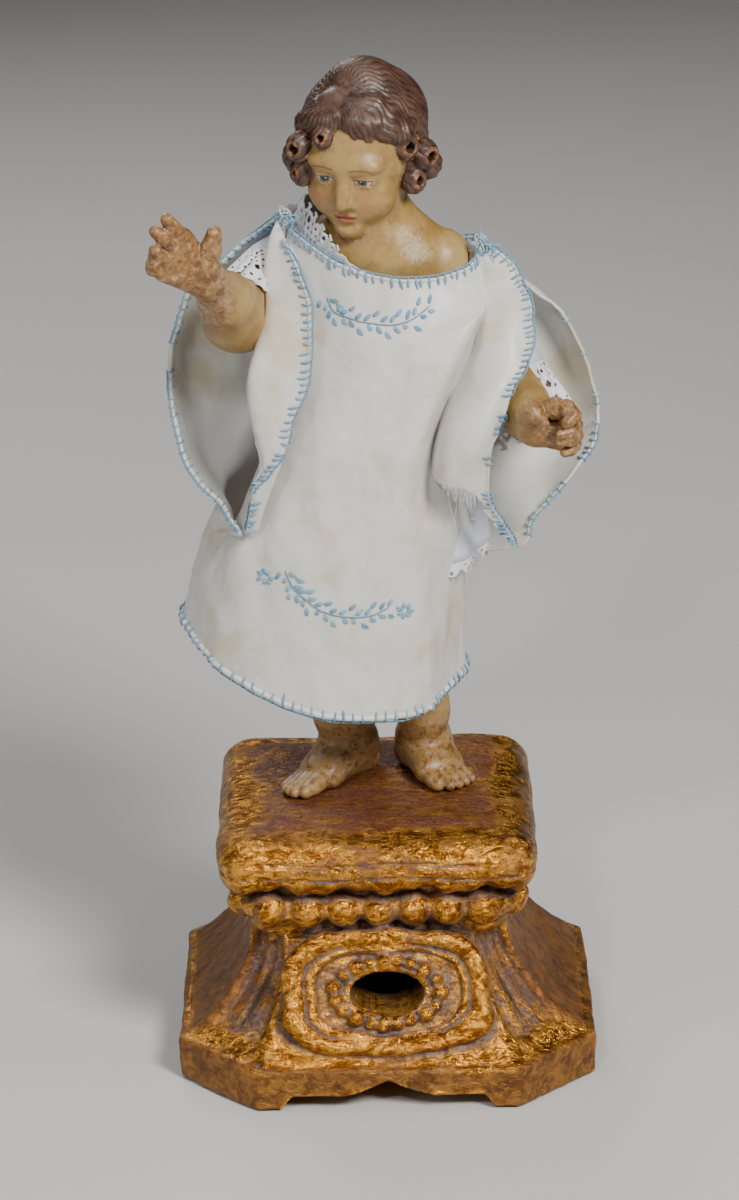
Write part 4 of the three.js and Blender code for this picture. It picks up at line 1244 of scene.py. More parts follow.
def sheet_mesh(name, grids, missing, thickness, material):
    """One thin solid of cloth from several grids of points, joined where their points meet."""
    points, faces = [], []
    shift = 0
    for part, spots in grids.items():
        rows, columns = spots.shape[:2]
        index = shift + np.arange(rows * columns).reshape(rows, columns)
        quads = np.stack([index[:-1, :-1], index[1:, :-1], index[1:, 1:], index[:-1, 1:]], -1)
        if part in AGAINST:
            quads = quads[..., ::-1]
        faces.append(quads[~missing(part, spots)])
        points.append(spots.reshape(-1, 3))
        shift += rows * columns
    points, faces = np.concatenate(points), np.concatenate(faces)
    keys = np.round(points / JOINED_WITHIN).astype(np.int64)
    _, first, joined = np.unique(keys, axis=0, return_index=True, return_inverse=True)
    used, corners = np.unique(joined.ravel()[faces], return_inverse=True)
    piece = new_piece(name, on_cushion(points[first][used]), corners.reshape(faces.shape), material)
    piece.data.validate()
    solidify = piece.modifiers.new("thickness", "SOLIDIFY")
    solidify.thickness = thickness * MM
    solidify.offset = 0
    solidify.use_even_offset = False
    return piece


# Thread: thin tubes laid on the cloth

THREAD_END = 0.45


class Threads:
    """Collects thin tubes, each with a shade of its own, as one mesh."""

    def __init__(self):
        self.points = []
        self.faces = []
        self.shades = []
        self.count = 0

    def add(self, line, radius, shade, sides=5):
        line = np.asarray(line, float)
        n = len(line)
        ahead = units(np.gradient(line, axis=0))
        side = units(np.cross(ahead, np.where(np.abs(ahead[:, 1:2]) > 0.9, (1.0, 0, 0), (0.0, 1, 0))))
        other = np.cross(ahead, side)
        thick = np.full(n, radius)
        thick[[0, -1]] *= THREAD_END
        angles = 2 * np.pi * np.arange(sides) / sides
        ring = side[:, None] * np.cos(angles)[None, :, None] + other[:, None] * np.sin(angles)[None, :, None]
        spots = (line[:, None] + ring * thick[:, None, None]).reshape(-1, 3)
        index = self.count + np.arange(n * sides).reshape(n, sides)
        after = np.roll(index, -1, 1)
        quads = np.stack([index[:-1], after[:-1], after[1:], index[1:]], -1).reshape(-1, 4)
        self.faces += quads.tolist()
        self.faces.append(index[0][::-1].tolist())
        self.faces.append(index[-1].tolist())
        self.points.append(spots)
        self.shades.append(np.full(len(spots), shade))
        self.count += len(spots)

    def piece(self, name, material):
        made = new_piece(name, on_cushion(np.concatenate(self.points)), self.faces, material)
        note(made, "shade", np.concatenate(self.shades))
        return made


def distances(line):
    """How far along a line of points each of them is."""
    return np.concatenate([[0], np.cumsum(length(np.diff(line, axis=0)))])


def along(line, spacing, rng):
    """Places along a line of points, about spacing apart, as indexes with fractions."""
    run = distances(line)
    places = []
    at = spacing * 0.5
    while at < run[-1]:
        places.append(at)
        at += spacing * (1 + 0.12 * rng.normal())
    return np.interp(places, run, np.arange(len(line)))


def pick(rows, place):
    """The row at an index with a fraction."""
    low = min(int(place), len(rows) - 2)
    return rows[low] + (rows[low + 1] - rows[low]) * (place - low)


def inward(line, reach):
    """The first reach millimetres of a line, as five points."""
    run = distances(line)
    stops = np.linspace(0, min(reach, run[-1] * 0.9), 5)
    return np.stack([np.interp(stops, run, line[:, k]) for k in range(3)], 1)


THREAD_RADIUS = 0.5
ROPE_RADIUS = 0.34
NARROW_HEM = 0.72
MIDDLE_HEM = 1.0
WIDE_HEM = 1.25


def lay_rope(threads, heads, rng):
    """The thread that runs along an edge from stitch to stitch."""
    if len(heads) > 2:
        rope = np.array(heads) + rng.normal(0, 0.12, (len(heads), 3))
        threads.add(through(rope, np.linspace(0, 1, 3 * len(rope))), ROPE_RADIUS, 0.1)


def blanket_stitch(threads, hems, lines, rng, spacing=3.1, reach=3.6, lost=(), hem=NARROW_HEM):
    """Blanket stitches over a rolled edge. lines holds, for each point of the edge, a line inward.

    lost holds the shares of the edge [from, to] whose stitches have come away, and hem is the radius
    of the rolled edge under the stitches.
    """
    rim = lines[:, 0]
    middle = np.array([inward(line, hem)[-1] for line in lines])
    hems.add(middle + rng.normal(0, 0.1 * hem, rim.shape), hem, 0, 8)
    heads = []
    for place in along(rim, spacing, rng):
        share = place / (len(lines) - 1)
        if any(low < share < high for low, high in lost):
            lay_rope(threads, heads, rng)
            heads = []
            continue
        line = pick(lines, place)
        beside = pick(lines, min(place + 0.5, len(lines) - 1.001)) - line
        bar = inward(line, reach * (1 + 0.16 * rng.normal()))
        run = bar[-1] - bar[0]
        across = unit(beside[0])
        bar = bar + np.linspace(0, 1, 5)[:, None] * across * rng.normal() * 0.5
        normal, outwards = unit(np.cross(run, across)), unit(-run)
        shade = rng.uniform(0, 1)
        for face in (1, -1):
            raised = np.array([0.4, hem + 0.35, hem + 0.25, 0.65, 0.1]) * face
            stitch = bar + normal * raised[:, None]
            stitch[0] += outwards * 0.85
            threads.add(stitch, THREAD_RADIUS * rng.uniform(0.85, 1.15), shade)
            if face > 0:
                heads.append(stitch[0])
    lay_rope(threads, heads, rng)


# The under-dress, of thin cotton with lace at its neck, cuffs and hem

CHEMISE_RINGS = [
    [5.5, 16, 35.5, 23.5, 328.25, -11, -7.5, -3.75],
    [0, 17, 39, 27, 303, -2, -2, 0],
    [-2, 17, 38, 28, 270, 0, 0, 0],
    [0, 16, 38, 29.5, 240, 0, 0, 0],
    [6, 15, 38, 29.5, 198, 3, -4, 0],
]

# Sleeve stations: [x, y, z, radius, how much taller than wide].
SLEEVES = {
    "right": [[-29, 18.5, 321, 13.5, 1], [-40, 9.5, 314.5, 15.2, 1], [-46.5, -2, 309, 16.2, 1]],
    "left": [
        [30, 17, 314, 12.8, 1], [40, 16, 297, 14.2, 1], [50, 10, 274, 15.4, 1.1],
        [54.5, 3, 265.5, 15.6, 1.25],
    ],
}
# How far down each sleeve the cotton reaches. The rest is lace.
COTTON_REACH = {"right": 0.52, "left": 0.70}
# Where the under-dress is drawn in behind, clear of the robe: by how much, and the middle and the
# width of that part in degrees.
DRAWN_IN = 11.5
DRAWN_IN_AT = 132
DRAWN_IN_WIDTH = 27


def tube(stations, ts, sides):
    """Rings of points round a curved line, as an array [ring, side]."""
    rows = through(stations, ts)
    centres, radii, tall = rows[:, :3], rows[:, 3], rows[:, 4]
    ahead = units(np.gradient(centres, axis=0))
    side = units(UP - ahead * (ahead @ UP)[:, None])
    other = np.cross(ahead, side)
    angles = 2 * np.pi * np.arange(sides + 1) / sides
    spread = (side * tall[:, None])[:, None] * np.cos(angles)[None, :, None]
    spread = spread + other[:, None] * np.sin(angles)[None, :, None]
    return centres[:, None] + spread * radii[:, None, None]


def chemise_grids():
    """The under-dress's sheets by name."""
    ts = np.linspace(0, 0.97, 52)
    angles = np.linspace(-180, 180, 121)
    body = np.stack([ring_spot(CHEMISE_RINGS, np.full(len(angles), t), angles) for t in ts])
    fold = 0.9 * np.sin(np.radians(angles) * 9 + 1)[None, :] * np.linspace(0.2, 1.6, len(ts))[:, None]
    away = body[..., :2] - (0, 16)
    away = away / np.linalg.norm(away, axis=-1, keepdims=True)
    drawn_in = DRAWN_IN * np.exp(-(((angles - DRAWN_IN_AT) / DRAWN_IN_WIDTH) ** 2))
    drawn_in = drawn_in * step(300, 262, body[..., 2])
    body[..., :2] += away * (fold - drawn_in)[..., None]
    parts = {"body": rumple(body, (0, 16), 0.5)}
    for name, stations in SLEEVES.items():
        parts[name] = rumple(tube(stations, np.linspace(0, COTTON_REACH[name], 24), 52), strength=0.6)
    return parts


def nothing_missing(name, points):
    return np.zeros((points.shape[0] - 1, points.shape[1] - 1), bool)


LACE_STEP = 0.62
LACE_THICKNESS = 0.4


def lace_holes(rows, columns):
    """The eyelets of the lace: small diamonds in staggered rows, of uneven size, some closed."""
    v, u = np.meshgrid(np.arange(rows), np.arange(columns), indexing="ij")
    row, column = v // 4, u + (v // 4 % 2) * 3
    diamond = np.abs(v % 4 - 1.5) + np.abs(column % 6 - 2.5)
    chance = np.sin(row * 12.99 + (column // 6) * 78.23) * 43758.5
    chance = chance - np.floor(chance)
    holes = (diamond < np.select([chance < 0.2, chance < 0.8], [0.0, 1.2], 2.1)) & (v > 1)
    scallop = np.abs((u % 12) - 5.5) / 5.5
    return holes | (v > rows - 1 - 3 * scallop ** 2)


def lace_strip(name, top, bottom, ruffle, material):
    """A strip of lace between two lines of points, with waves as deep as ruffle at its bottom."""
    top, bottom = np.asarray(top, float), np.asarray(bottom, float)
    run = np.sum(length(np.diff(top, axis=0)))
    columns = int(run / LACE_STEP)
    u = np.linspace(0, 1, columns + 1)
    a, b = through(top, u), through(bottom, u)
    rows = max(6, int(np.mean(length(a - b)) / LACE_STEP))
    v = np.linspace(0, 1, rows + 1)[:, None, None]
    points = a[None] + (b - a)[None] * v
    wave = np.sin(np.arange(columns + 1) * LACE_STEP * 0.9)[None, :, None]
    normal = units(np.cross(np.gradient(a, axis=0), b - a))
    points = points + normal[None] * wave * v * ruffle
    holes = lace_holes(rows, columns)
    return sheet_mesh(name, {"lace": points}, lambda part, spots: holes, LACE_THICKNESS, material)


def cuff(name, ring, reach, flaring, fall=0.0):
    """The lines that a cuff of lace hangs between, from where a sleeve's cotton ends outwards.

    It reaches further by up to fall on the side that faces forwards.
    """
    stations = SLEEVES[name]
    end = np.array(stations[-1][:3], float)
    ahead = unit(end - stations[-2][:3])
    start = through(stations, COTTON_REACH[name])[:3]
    forwards = np.clip((start[1] - ring[:, 1]) / 10, 0, 1)[:, None]
    return ring, end + (ring - start) * flaring + ahead * (reach + fall * forwards)


# The free edge of the lace collar that shows over the robe's left shoulder.
COLLAR_TOP = [
    [-3, 34, 337], [-16, 33, 342], [-26, 24, 345], [-27.6, 12, 347.4], [-24.4, 4, 345.4],
    [-21.6, -1, 341], [-18.3, -5.2, 336.6], [-15, -8.6, 332.4], [-11.4, -9.8, 327.2],
    [-8, -11, 322],
]


def collar_foot(front):
    """The collar's sewn edge, under the robe's neckline."""
    behind = [[-4, 38, 327], [-21, 35, 331], [-32, 24, 336]]
    under = front[2, 0:26:3] + (1.0, 3.2, -1.5)
    return np.concatenate([behind, under])


# Materials

def oval(across, up, centre, radii):
    """1 on an oval, and less inside it."""
    return ((across - centre[0]) / radii[0]) ** 2.0 + ((up - centre[1]) / radii[1]) ** 2.0


def face_layers(x, y, z):
    """The paint of the cheeks, eyes, lashes, brows and lips, from sockets of the head's own frame."""
    front = y.ramp(-12, -18)
    side = abs(x)
    cheek = oval(side, z, (10.5, -16.5), (6.5, 5.5)).ramp(1.2, 0.0) * front
    eye = oval(side, z, (8.3, -6.75), (3.7, 1.25)).ramp(1.12, 0.9) * front
    iris = oval(side, z, (8.1, -6.9), (2.0, 2.0)).ramp(1.15, 0.85)
    pupil = oval(side, z, (8.1, -6.9), (0.8, 0.8)).ramp(1.2, 0.8)
    glint = oval(side, z, (7.6, -6.3), (0.32, 0.32)).ramp(1.3, 0.7)
    lash_line = z + 5.15 + ((side - 8.3) * (side - 8.3)) * 0.055
    lash = abs(lash_line).ramp(0.55, 0.2) * abs(side - 8.4).ramp(4.7, 3.7) * front
    brow_line = z + 0.1 + ((side - 7.4) * (side - 7.4)) * 0.04
    brow = abs(brow_line).ramp(0.75, 0.15) * abs(side - 8.2).ramp(5.6, 4.0) * front
    lips = oval(x, z, (0, -23.6), (4.9, 2.5)).ramp(1.1, 0.75) * front
    mouth = abs(z + 23.5).ramp(0.5, 0.15) * side.ramp(4.9, 4.0) * front
    return [
        ((0.55, 0.20, 0.10), cheek * 0.35),
        ((0.50, 0.43, 0.30), eye),
        ((0.05, 0.075, 0.085), eye * iris),
        ((0.01, 0.01, 0.01), eye * pupil),
        ((0.9, 0.9, 0.88), eye * glint),
        ((0.07, 0.03, 0.015), lash * 0.85),
        ((0.10, 0.045, 0.02), brow * 0.7),
        ((0.36, 0.075, 0.04), lips * 0.8),
        ((0.10, 0.02, 0.012), mouth * 0.8),
    ]


def painted_wood():
    paint = Paint("painted_wood")
    place = paint.place()
    x, y, z = paint.split(place)
    head_x, head_y, head_z = paint.split(paint.noted("head", "Vector"))
    fold, hollow, worn = (paint.noted(name) for name in ("crease", "hollow", "edge"))
    mottle = paint.noise(place, 9, 4, 0.6)
    patch = paint.noise(place, 26, 3, 0.5)
    speck = paint.noise(place, 1.6, 4, 0.65)
    pale = paint.noise(place, 2.6, 5, 0.7, 0.4)
    flaked = paint.noise(paint.stretch(place, (1, 0.5, 1)), 2.6, 5, 0.7, 0.5)

    on_hand = (abs(x) + y * -0.5).ramp(76, 92)
    on_foot = z.ramp(146, 124)
    on_either = on_foot.most(on_hand)
    grime = (mottle * 0.5 + speck * 0.5).ramp(0.42, 0.6)
    # A pale, glossy patch on the chest: flaking paint, and a painted highlight.
    breast = 1.0 - oval(x - (z * -0.5 + 180.2), z, (0, 333), (7.5, 10.5))
    flakes = paint.noise(place, 1.0, 4, 0.75, 0.6) * 0.9 + mottle * 0.35
    chest_flakes_and_highlight = (breast * 0.30 + flakes).ramp(0.70, 0.98) * y.ramp(-9, -12) * breast.ramp(0.0, 0.5)
    color = paint.over(
        paint.mix((0.29, 0.165, 0.045), (0.385, 0.245, 0.08), mottle.ramp(0.35, 0.65)),
        ((0.43, 0.305, 0.13), patch.ramp(0.5, 0.75) * 0.6),
        ((0.27, 0.13, 0.035), speck.ramp(0.56, 0.72) * 0.45),
        ((0.26, 0.115, 0.035), on_hand * 0.35),
        ((0.20, 0.07, 0.02), on_hand * grime * 0.8),
        ((0.40, 0.24, 0.11), on_hand * patch.ramp(0.55, 0.7) * 0.5),
        ((0.31, 0.17, 0.05), on_foot * 0.75),
        ((0.33, 0.275, 0.27), on_foot * flaked.ramp(0.55, 0.61) * 0.6),
        ((0.50, 0.35, 0.24), on_hand * flaked.ramp(0.55, 0.62) * 0.7),
        ((0.13, 0.05, 0.017), on_either * flaked.ramp(0.47, 0.41) * 0.8),
        # Darker in the creases and hollows, deepest in those of the hands and feet: painted shade, with some
        # grime.
        ((0.16, 0.06, 0.02), fold.ramp(0.18, 0.7) * 0.9),
        ((0.045, 0.018, 0.008), fold.ramp(0.45, 0.95) * on_either * 0.9),
        ((0.27, 0.14, 0.05), hollow.ramp(0.3, 0.9) * 0.45),
        ((0.60, 0.40, 0.25), worn.ramp(0.16, 0.5) * pale.ramp(0.42, 0.6) * 0.7),
        # The pale patch on the chest: flaking paint and a painted highlight.
        ((0.62, 0.51, 0.36), chest_flakes_and_highlight * 0.7),
        *face_layers(head_x, head_y, head_z),
    )

    in_hair = paint.noted("hair").ramp(-0.25, 0.35)
    shade = paint.noise(place, 7, 4, 0.6)
    dusty = paint.noise(place, 12, 3, 0.6)
    rubbed = worn.ramp(0.2, 0.6) * pale.ramp(0.4, 0.6) * head_z.ramp(21, 12)
    brown = paint.over(
        paint.mix((0.048, 0.020, 0.012), (0.105, 0.052, 0.033), shade.ramp(0.35, 0.65)),
        ((0.17, 0.11, 0.09), dusty.ramp(0.55, 0.78) * 0.5),
        # Near black in the grooves between strands and in the creases of the hair: painted shade.
        ((0.018, 0.007, 0.005), paint.noted("strand").ramp(0.5, 0.05) * 0.9),
        ((0.010, 0.004, 0.003), fold.ramp(0.3, 0.8) * 0.95),
        ((0.34, 0.15, 0.055), rubbed * 0.8),
    )
    color = paint.mix(color, brown, in_hair)

    cracks = paint.to_cell_edge(paint.stretch(place, (1, 1, 0.6)), 5.5).ramp(0.012, 0.0)
    crack = cracks * paint.noise(place, 7, 2).ramp(0.58, 0.66)
    color = paint.mix(color, (0.12, 0.055, 0.02), crack * 0.6 * (1.0 - in_hair))
    relief = paint.bump(speck * 0.35 + mottle * 0.5 - crack * 0.5, 0.35)
    rough = 0.36 + speck * 0.24 - chest_flakes_and_highlight * 0.15
    return paint.set(color=color, rough=rough, normal=relief, coat=0.12, coat_rough=0.25)


def gilt_wood():
    paint = Paint("gilt_wood")
    place = paint.place()
    across, depth, height = paint.split(place)
    fold, hollow, worn = (paint.noted(name) for name in ("crease", "hollow", "edge"))
    inside = paint.noted("inside")
    broad = paint.noise(place, 24, 4, 0.6)
    patch = paint.noise(place, 7, 5, 0.65, 0.3)
    fine = paint.noise(place, 1.7, 4, 0.65)
    scratch = paint.noise(paint.stretch(place, (0.25, 1, 1.4)), 3.0, 4, 0.7)
    crinkle = paint.noise(paint.stretch(place, (0.6, 1, 1)), 3.6, 5, 0.6, 1.2)
    grain = paint.noise(paint.stretch(place, (0.3, 1, 1)), 6, 5, 0.65)

    # The gold is painted bright on the crests of its crinkles and dark between them: painted highlights and
    # painted shade.
    crinkle_light_and_shade = (patch * 0.4 + crinkle * 0.6).ramp(0.40, 0.60)
    gold = paint.mix((0.25, 0.082, 0.008), (0.84, 0.40, 0.055), crinkle_light_and_shade)
    gold = paint.mix(gold, (0.10, 0.030, 0.008), fine.ramp(0.56, 0.66) * 0.75)
    bole = paint.mix((0.085, 0.024, 0.011), (0.20, 0.07, 0.03), fine.ramp(0.35, 0.65))
    bronze = paint.mix((0.075, 0.025, 0.006), (0.24, 0.088, 0.014), patch.ramp(0.3, 0.7))
    # The colour of settled dirt, also used as painted shade in the creases and hollows.
    dirt_and_shade = paint.mix((0.05, 0.03, 0.024), (0.19, 0.15, 0.16), fine.ramp(0.35, 0.7))

    plate = height.ramp(19.5, 17.0)
    cushion_top = height.ramp(103.6, 105.2)
    flank = abs(across).most(depth).ramp(44, 52) * depth.ramp(-54, -46) * height.ramp(68, 54)
    rubbed = (patch * 0.5 + broad * 0.5).ramp(0.5, 0.62)
    unworn = 1.0 - worn.ramp(0.12, 0.35)
    dull = (rubbed * 0.4).most(plate * unworn * 0.75)
    dull = dull.most(cushion_top * 0.85 * fine.ramp(0.7, 0.35))
    dull = dull.most((patch * 0.55 + broad * 0.45).ramp(0.56, 0.61) * 0.8)
    dull = dull.most(flank * unworn * 0.9)
    bare = (rubbed * scratch.ramp(0.5, 0.62) * 0.8).most(cushion_top * grain.ramp(0.36, 0.56))
    # Darker in the creases and hollows as painted shade, and in the flutes' panels and round the beads where
    # dirt has settled.
    in_dirt_and_shade = (fold.ramp(0.12, 0.5) * 0.95).most(hollow.ramp(0.28, 0.75) * 0.8)
    settled = paint.noted("recess") * (patch * 0.6 + fine * 0.4).ramp(0.60, 0.44)
    in_dirt_and_shade = in_dirt_and_shade.most(settled * 0.85) * (0.75 + 0.25 * fine)

    color = paint.mix(gold, bronze, dull)
    color = paint.mix(color, bole, bare)
    color = paint.mix(color, dirt_and_shade, in_dirt_and_shade)
    color = paint.mix(color, (0.06, 0.035, 0.02), inside)
    metal = (1.0 - in_dirt_and_shade) * (1.0 - dull * 0.65) * (1.0 - inside) * (1.0 - bare * 0.8)
    rough = 0.13 + dull * 0.28 + fine * 0.12 + in_dirt_and_shade * 0.4 + bare * 0.15
    relief = paint.bump(patch * 0.35 + crinkle * 0.45 + fine * 0.12 + scratch * 0.08, 3.0)
    return paint.set(color=color, rough=rough, metal=metal * 0.92, normal=relief)


def woven(name, light, stain, stain_strength, sheen, rough, weave):
    """Cloth of one colour with stains. weave is how deep its threads look, in millimetres."""
    paint = Paint(name)
    place = paint.place()
    broad = paint.noise(place, 32, 3, 0.55)
    patch = paint.noise(place, 9, 4, 0.6)
    slub = paint.noise(paint.stretch(place, (1, 1, 0.08)), 0.5, 2, 0.5)
    cross = paint.noise(paint.stretch(place, (0.08, 1, 1)), 0.5, 2, 0.5)
    threads = slub * 0.5 + cross * 0.5
    color = paint.over(
        light,
        (stain, (broad * 0.6 + patch * 0.4).ramp(0.48, 0.66) * stain_strength),
        (tuple(0.8 * c for c in light), threads.ramp(0.6, 0.4) * 0.18),
    )
    relief = paint.bump(threads, weave)
    return paint.set(color=color, rough=rough, normal=relief, sheen=sheen, sheen_rough=0.4)


def thread_cotton(name, dark, light):
    """Twisted thread. Each thread has a shade of its own between dark and light."""
    paint = Paint(name)
    twist = paint.noise(paint.place(), 0.5, 2, 0.6)
    color = paint.mix(dark, light, paint.noted("shade") * 0.6 + twist * 0.4)
    return paint.set(color=color, rough=0.75, normal=paint.bump(twist, 0.25), sheen=0.3)


# Embroidery, knots and loose fibres

# The embroidered sprays on the robe's front: each stem's x and z, how many leaves it carries, and
# the middles of its flowers.
SPRAYS = [
    {
        "stem": [(-19.5, 311.5), (-17, 306.5), (-11, 304.4), (-3, 302.6), (5, 302), (13, 304), (20, 308.5)],
        "leaves": 30,
        "flowers": [],
    },
    {
        "stem": [(-37.5, 207), (-34.6, 200.5), (-30, 196), (-23, 191), (-14, 188.8), (-5, 188.6), (3, 191.6)],
        "leaves": 32,
        "flowers": [(-45.4, 203.4), (9, 189.6)],
    },
]
PETALS = 7
FLOWER_RADII = (1.0, 3.4)
LEAF_THREAD = 0.36
STEM_THREAD = 0.3

# Knots on the shoulders: [centre, size, loops].
KNOTS = [
    [(-35.4, 1.5, 342.4), 1.9, 9], [(-32, -1, 341), 1.5, 6], [(-38, 4, 341), 1.6, 5],
    [(40.2, 6.5, 330), 1.8, 8], [(43.5, 5, 327.5), 1.5, 6],
]

# How many loose fibres the torn side and the tear have, and the x, z and length of two long ones.
FIBRE_RADIUS = 0.11
SIDE_FIBRES = 150
TEAR_FIBRES = 90
HANGING_FIBRES = [(27, 240, 22), (29, 238.5, 9)]


def spray_leaves(stem, count):
    """Leaves from root to tip, set by turns on either side of a stem and leaning along it."""
    line = through(stem, np.linspace(0, 1, count))
    heading = units(np.gradient(line, axis=0))
    sideways = np.column_stack([-heading[:, 1], heading[:, 0]])
    for k in range(count):
        side = 1 if k % 2 else -1
        root = line[k] + sideways[k] * side * (0.9 + 1.9 * (k % 3 == 0))
        yield root, root + (heading[k] * 0.75 + sideways[k] * side * 0.7) * (3.1 - 0.8 * (k % 4 == 2))


def petals(middle):
    """A flower's petals, from their inner ends outwards."""
    inner, outer = FLOWER_RADII
    for turn in np.arange(PETALS) * 2 * math.pi / PETALS:
        ray = np.array([math.cos(turn), math.sin(turn)])
        yield middle + ray * inner, middle + ray * outer


def cloth_finder(piece):
    """A search of a piece's surface by rays, in millimetres."""
    mesh = piece.data
    points = off_cushion([vertex.co / MM for vertex in mesh.vertices])
    return BVHTree.FromPolygons(points, [tuple(face.vertices) for face in mesh.polygons])


def laid(finder, x, z):
    """The point of the robe's front at x and z."""
    hit, _, _, _ = finder.ray_cast(Vector((x, -90, z)), Vector((0, 1, 0)))
    return None if hit is None else np.array(hit)


def satin_leaf(threads, finder, root, tip, rng):
    """Three stitches side by side, which swell in the middle."""
    shade = rng.uniform(0, 0.8)
    root, tip = root + rng.normal(0, 0.2, 2), tip + rng.normal(0, 0.25, 2)
    across = np.array([tip[1] - root[1], root[0] - tip[0]]) / math.hypot(*(tip - root))
    for side in (-0.42, 0.05, 0.45):
        line = []
        for f in np.linspace(-0.04, 1.04, 5):
            swell = side * (1 - (2 * f - 1) ** 2) ** 0.5 if 0 < f < 1 else 0
            x, z = root + (tip - root) * f + across * swell
            line.append(laid(finder, x, z) + (0, -0.35 - 0.4 * (1 - abs(2 * f - 1)), 0))
        threads.add(line, LEAF_THREAD, shade + rng.uniform(0, 0.2))


def embroider(threads, finder, rng):
    """Small satin-stitched leaves and petals and their stems, laid on the robe's front."""
    for spray in SPRAYS:
        stem = np.array(spray["stem"], float)
        shapes = list(spray_leaves(stem, spray["leaves"]))
        for middle in spray["flowers"]:
            shapes.extend(petals(np.array(middle)))
        for root, tip in shapes:
            satin_leaf(threads, finder, root, tip, rng)
        spots = through(stem, np.linspace(0, 1, 40))
        line = [laid(finder, x, z) + (0, -0.4 - 0.2 * (k % 3 == 1), 0) for k, (x, z) in enumerate(spots)]
        threads.add(line, STEM_THREAD, 0.1)


def tie(threads, centre, size, loops, rng, radius=0.3):
    """A tangled knot of thread on a shoulder, with loose ends."""
    for _ in range(loops):
        one, two = np.linalg.qr(rng.normal(0, 1, (3, 2)))[0].T
        angle = np.linspace(0, rng.uniform(4, 7), 14)[:, None]
        coil = one * np.cos(angle) + two * np.sin(angle) * rng.uniform(0.4, 1)
        line = np.array(centre) + rng.normal(0, 0.5, 3) + coil * size * rng.uniform(0.6, 1.2)
        threads.add(line, radius, rng.uniform(0.2, 1))
    for _ in range(3):
        heading = rng.normal(0, 1, 3)
        run = np.linspace(0, 1, 7)[:, None]
        threads.add(np.array(centre) + run * heading * 3.0 + (0, -1, 0) - run ** 2 * (0, 0, 2), 0.2, 0.9)


def fray(threads, start, heading, reach, rng, sag=1.0):
    """One loose fibre of the torn cloth."""
    run = np.linspace(0, 1, 6)[:, None]
    wander = np.cumsum(rng.normal(0, 0.22, (6, 3)), axis=0) * reach / 5
    fall = np.array([0, 0, -sag]) * run ** 2 * reach * 0.6
    line = np.array(start) + run * np.array(heading) * reach + fall + wander
    threads.add(line, FIBRE_RADIUS, rng.uniform(0, 1), 3)


def fray_tear(threads, finder, tongue, rng):
    """The fringe along the torn side and below the tear."""
    for _ in range(SIDE_FIBRES):
        row = rng.integers(0, tongue.shape[0] - 22)
        fray(threads, tongue[row, -1], (0.8, -0.5, rng.normal(0, 0.5)), rng.uniform(1.5, 5), rng)
    for _ in range(TEAR_FIBRES):
        f = rng.uniform(0, 1)
        spot = laid(finder, 25 + 12 * f, 243.5 - 4 * f)
        if spot is not None:
            fray(threads, spot, (rng.normal(0, 0.3), -0.2, -1), rng.uniform(1.5, 5), rng)


# Putting the object together

RIDES = "root"
FIGURE_KEPT = 0.38
PEDESTAL_KEPT = 0.42
ROBE_THICKNESS = 0.4
CHEMISE_THICKNESS = 0.35
rng = np.random.default_rng(7)

wood = painted_wood()
gilt = gilt_wood()
satin = woven("satin", (0.66, 0.645, 0.60), (0.55, 0.45, 0.28), 0.75, sheen=0.2, rough=0.42, weave=0.1)
cotton = woven("white_cotton", (0.56, 0.60, 0.70), (0.50, 0.50, 0.55), 0.4, sheen=0.3, rough=0.8, weave=0.12)
blue = thread_cotton("blue_thread", (0.065, 0.20, 0.33), (0.29, 0.50, 0.64))
lace_cotton = woven(
    "lace_cotton", (0.74, 0.73, 0.76), (0.55, 0.50, 0.45), 0.4, sheen=0.2, rough=0.85, weave=0.2
)
white = thread_cotton("white_thread", (0.50, 0.50, 0.50), (0.75, 0.74, 0.72))


def keep(piece, slot, *nodes):
    """Says which body a piece rides and hides the CAD nodes that it stands for. Its slot, what it is made of,
    is not used.
    """
    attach(piece, RIDES)
    if nodes:
        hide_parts(*nodes)
    return piece


figure = keep(build_figure(wood), "painted_wood", "figure")
pedestal = keep(build_pedestal(gilt), "gilt_wood", "pedestal")
thin_out(figure, FIGURE_KEPT)
thin_out(pedestal, PEDESTAL_KEPT)

robe_parts = robe_grids()
robe = sheet_mesh("satin_robe", robe_parts, torn_away, ROBE_THICKNESS, satin)
keep(robe, "satin", "robe")
chemise_parts = chemise_grids()
chemise = sheet_mesh("cotton_chemise", chemise_parts, nothing_missing, CHEMISE_THICKNESS, cotton)
keep(chemise, "white_cotton", "chemise")

# Each strip of lace: its name, its sewn edge, its free edge and how deep its waves are.
hem_top = chemise_parts["body"][-1]
strips = [
    ("lace_collar", collar_foot(robe_parts["front"]), COLLAR_TOP, 0.4),
    ("lace_cuff_right", *cuff("right", chemise_parts["right"][-1], 7, 1.1), 1.0),
    ("lace_cuff_left", *cuff("left", chemise_parts["left"][-1], 9, 1.12, 10), 1.6),
    ("lace_hem", hem_top, hem_top + (0, 0, -6), 0.5),
]
lace = [keep(lace_strip(*row, lace_cotton), "white_cotton") for row in strips]

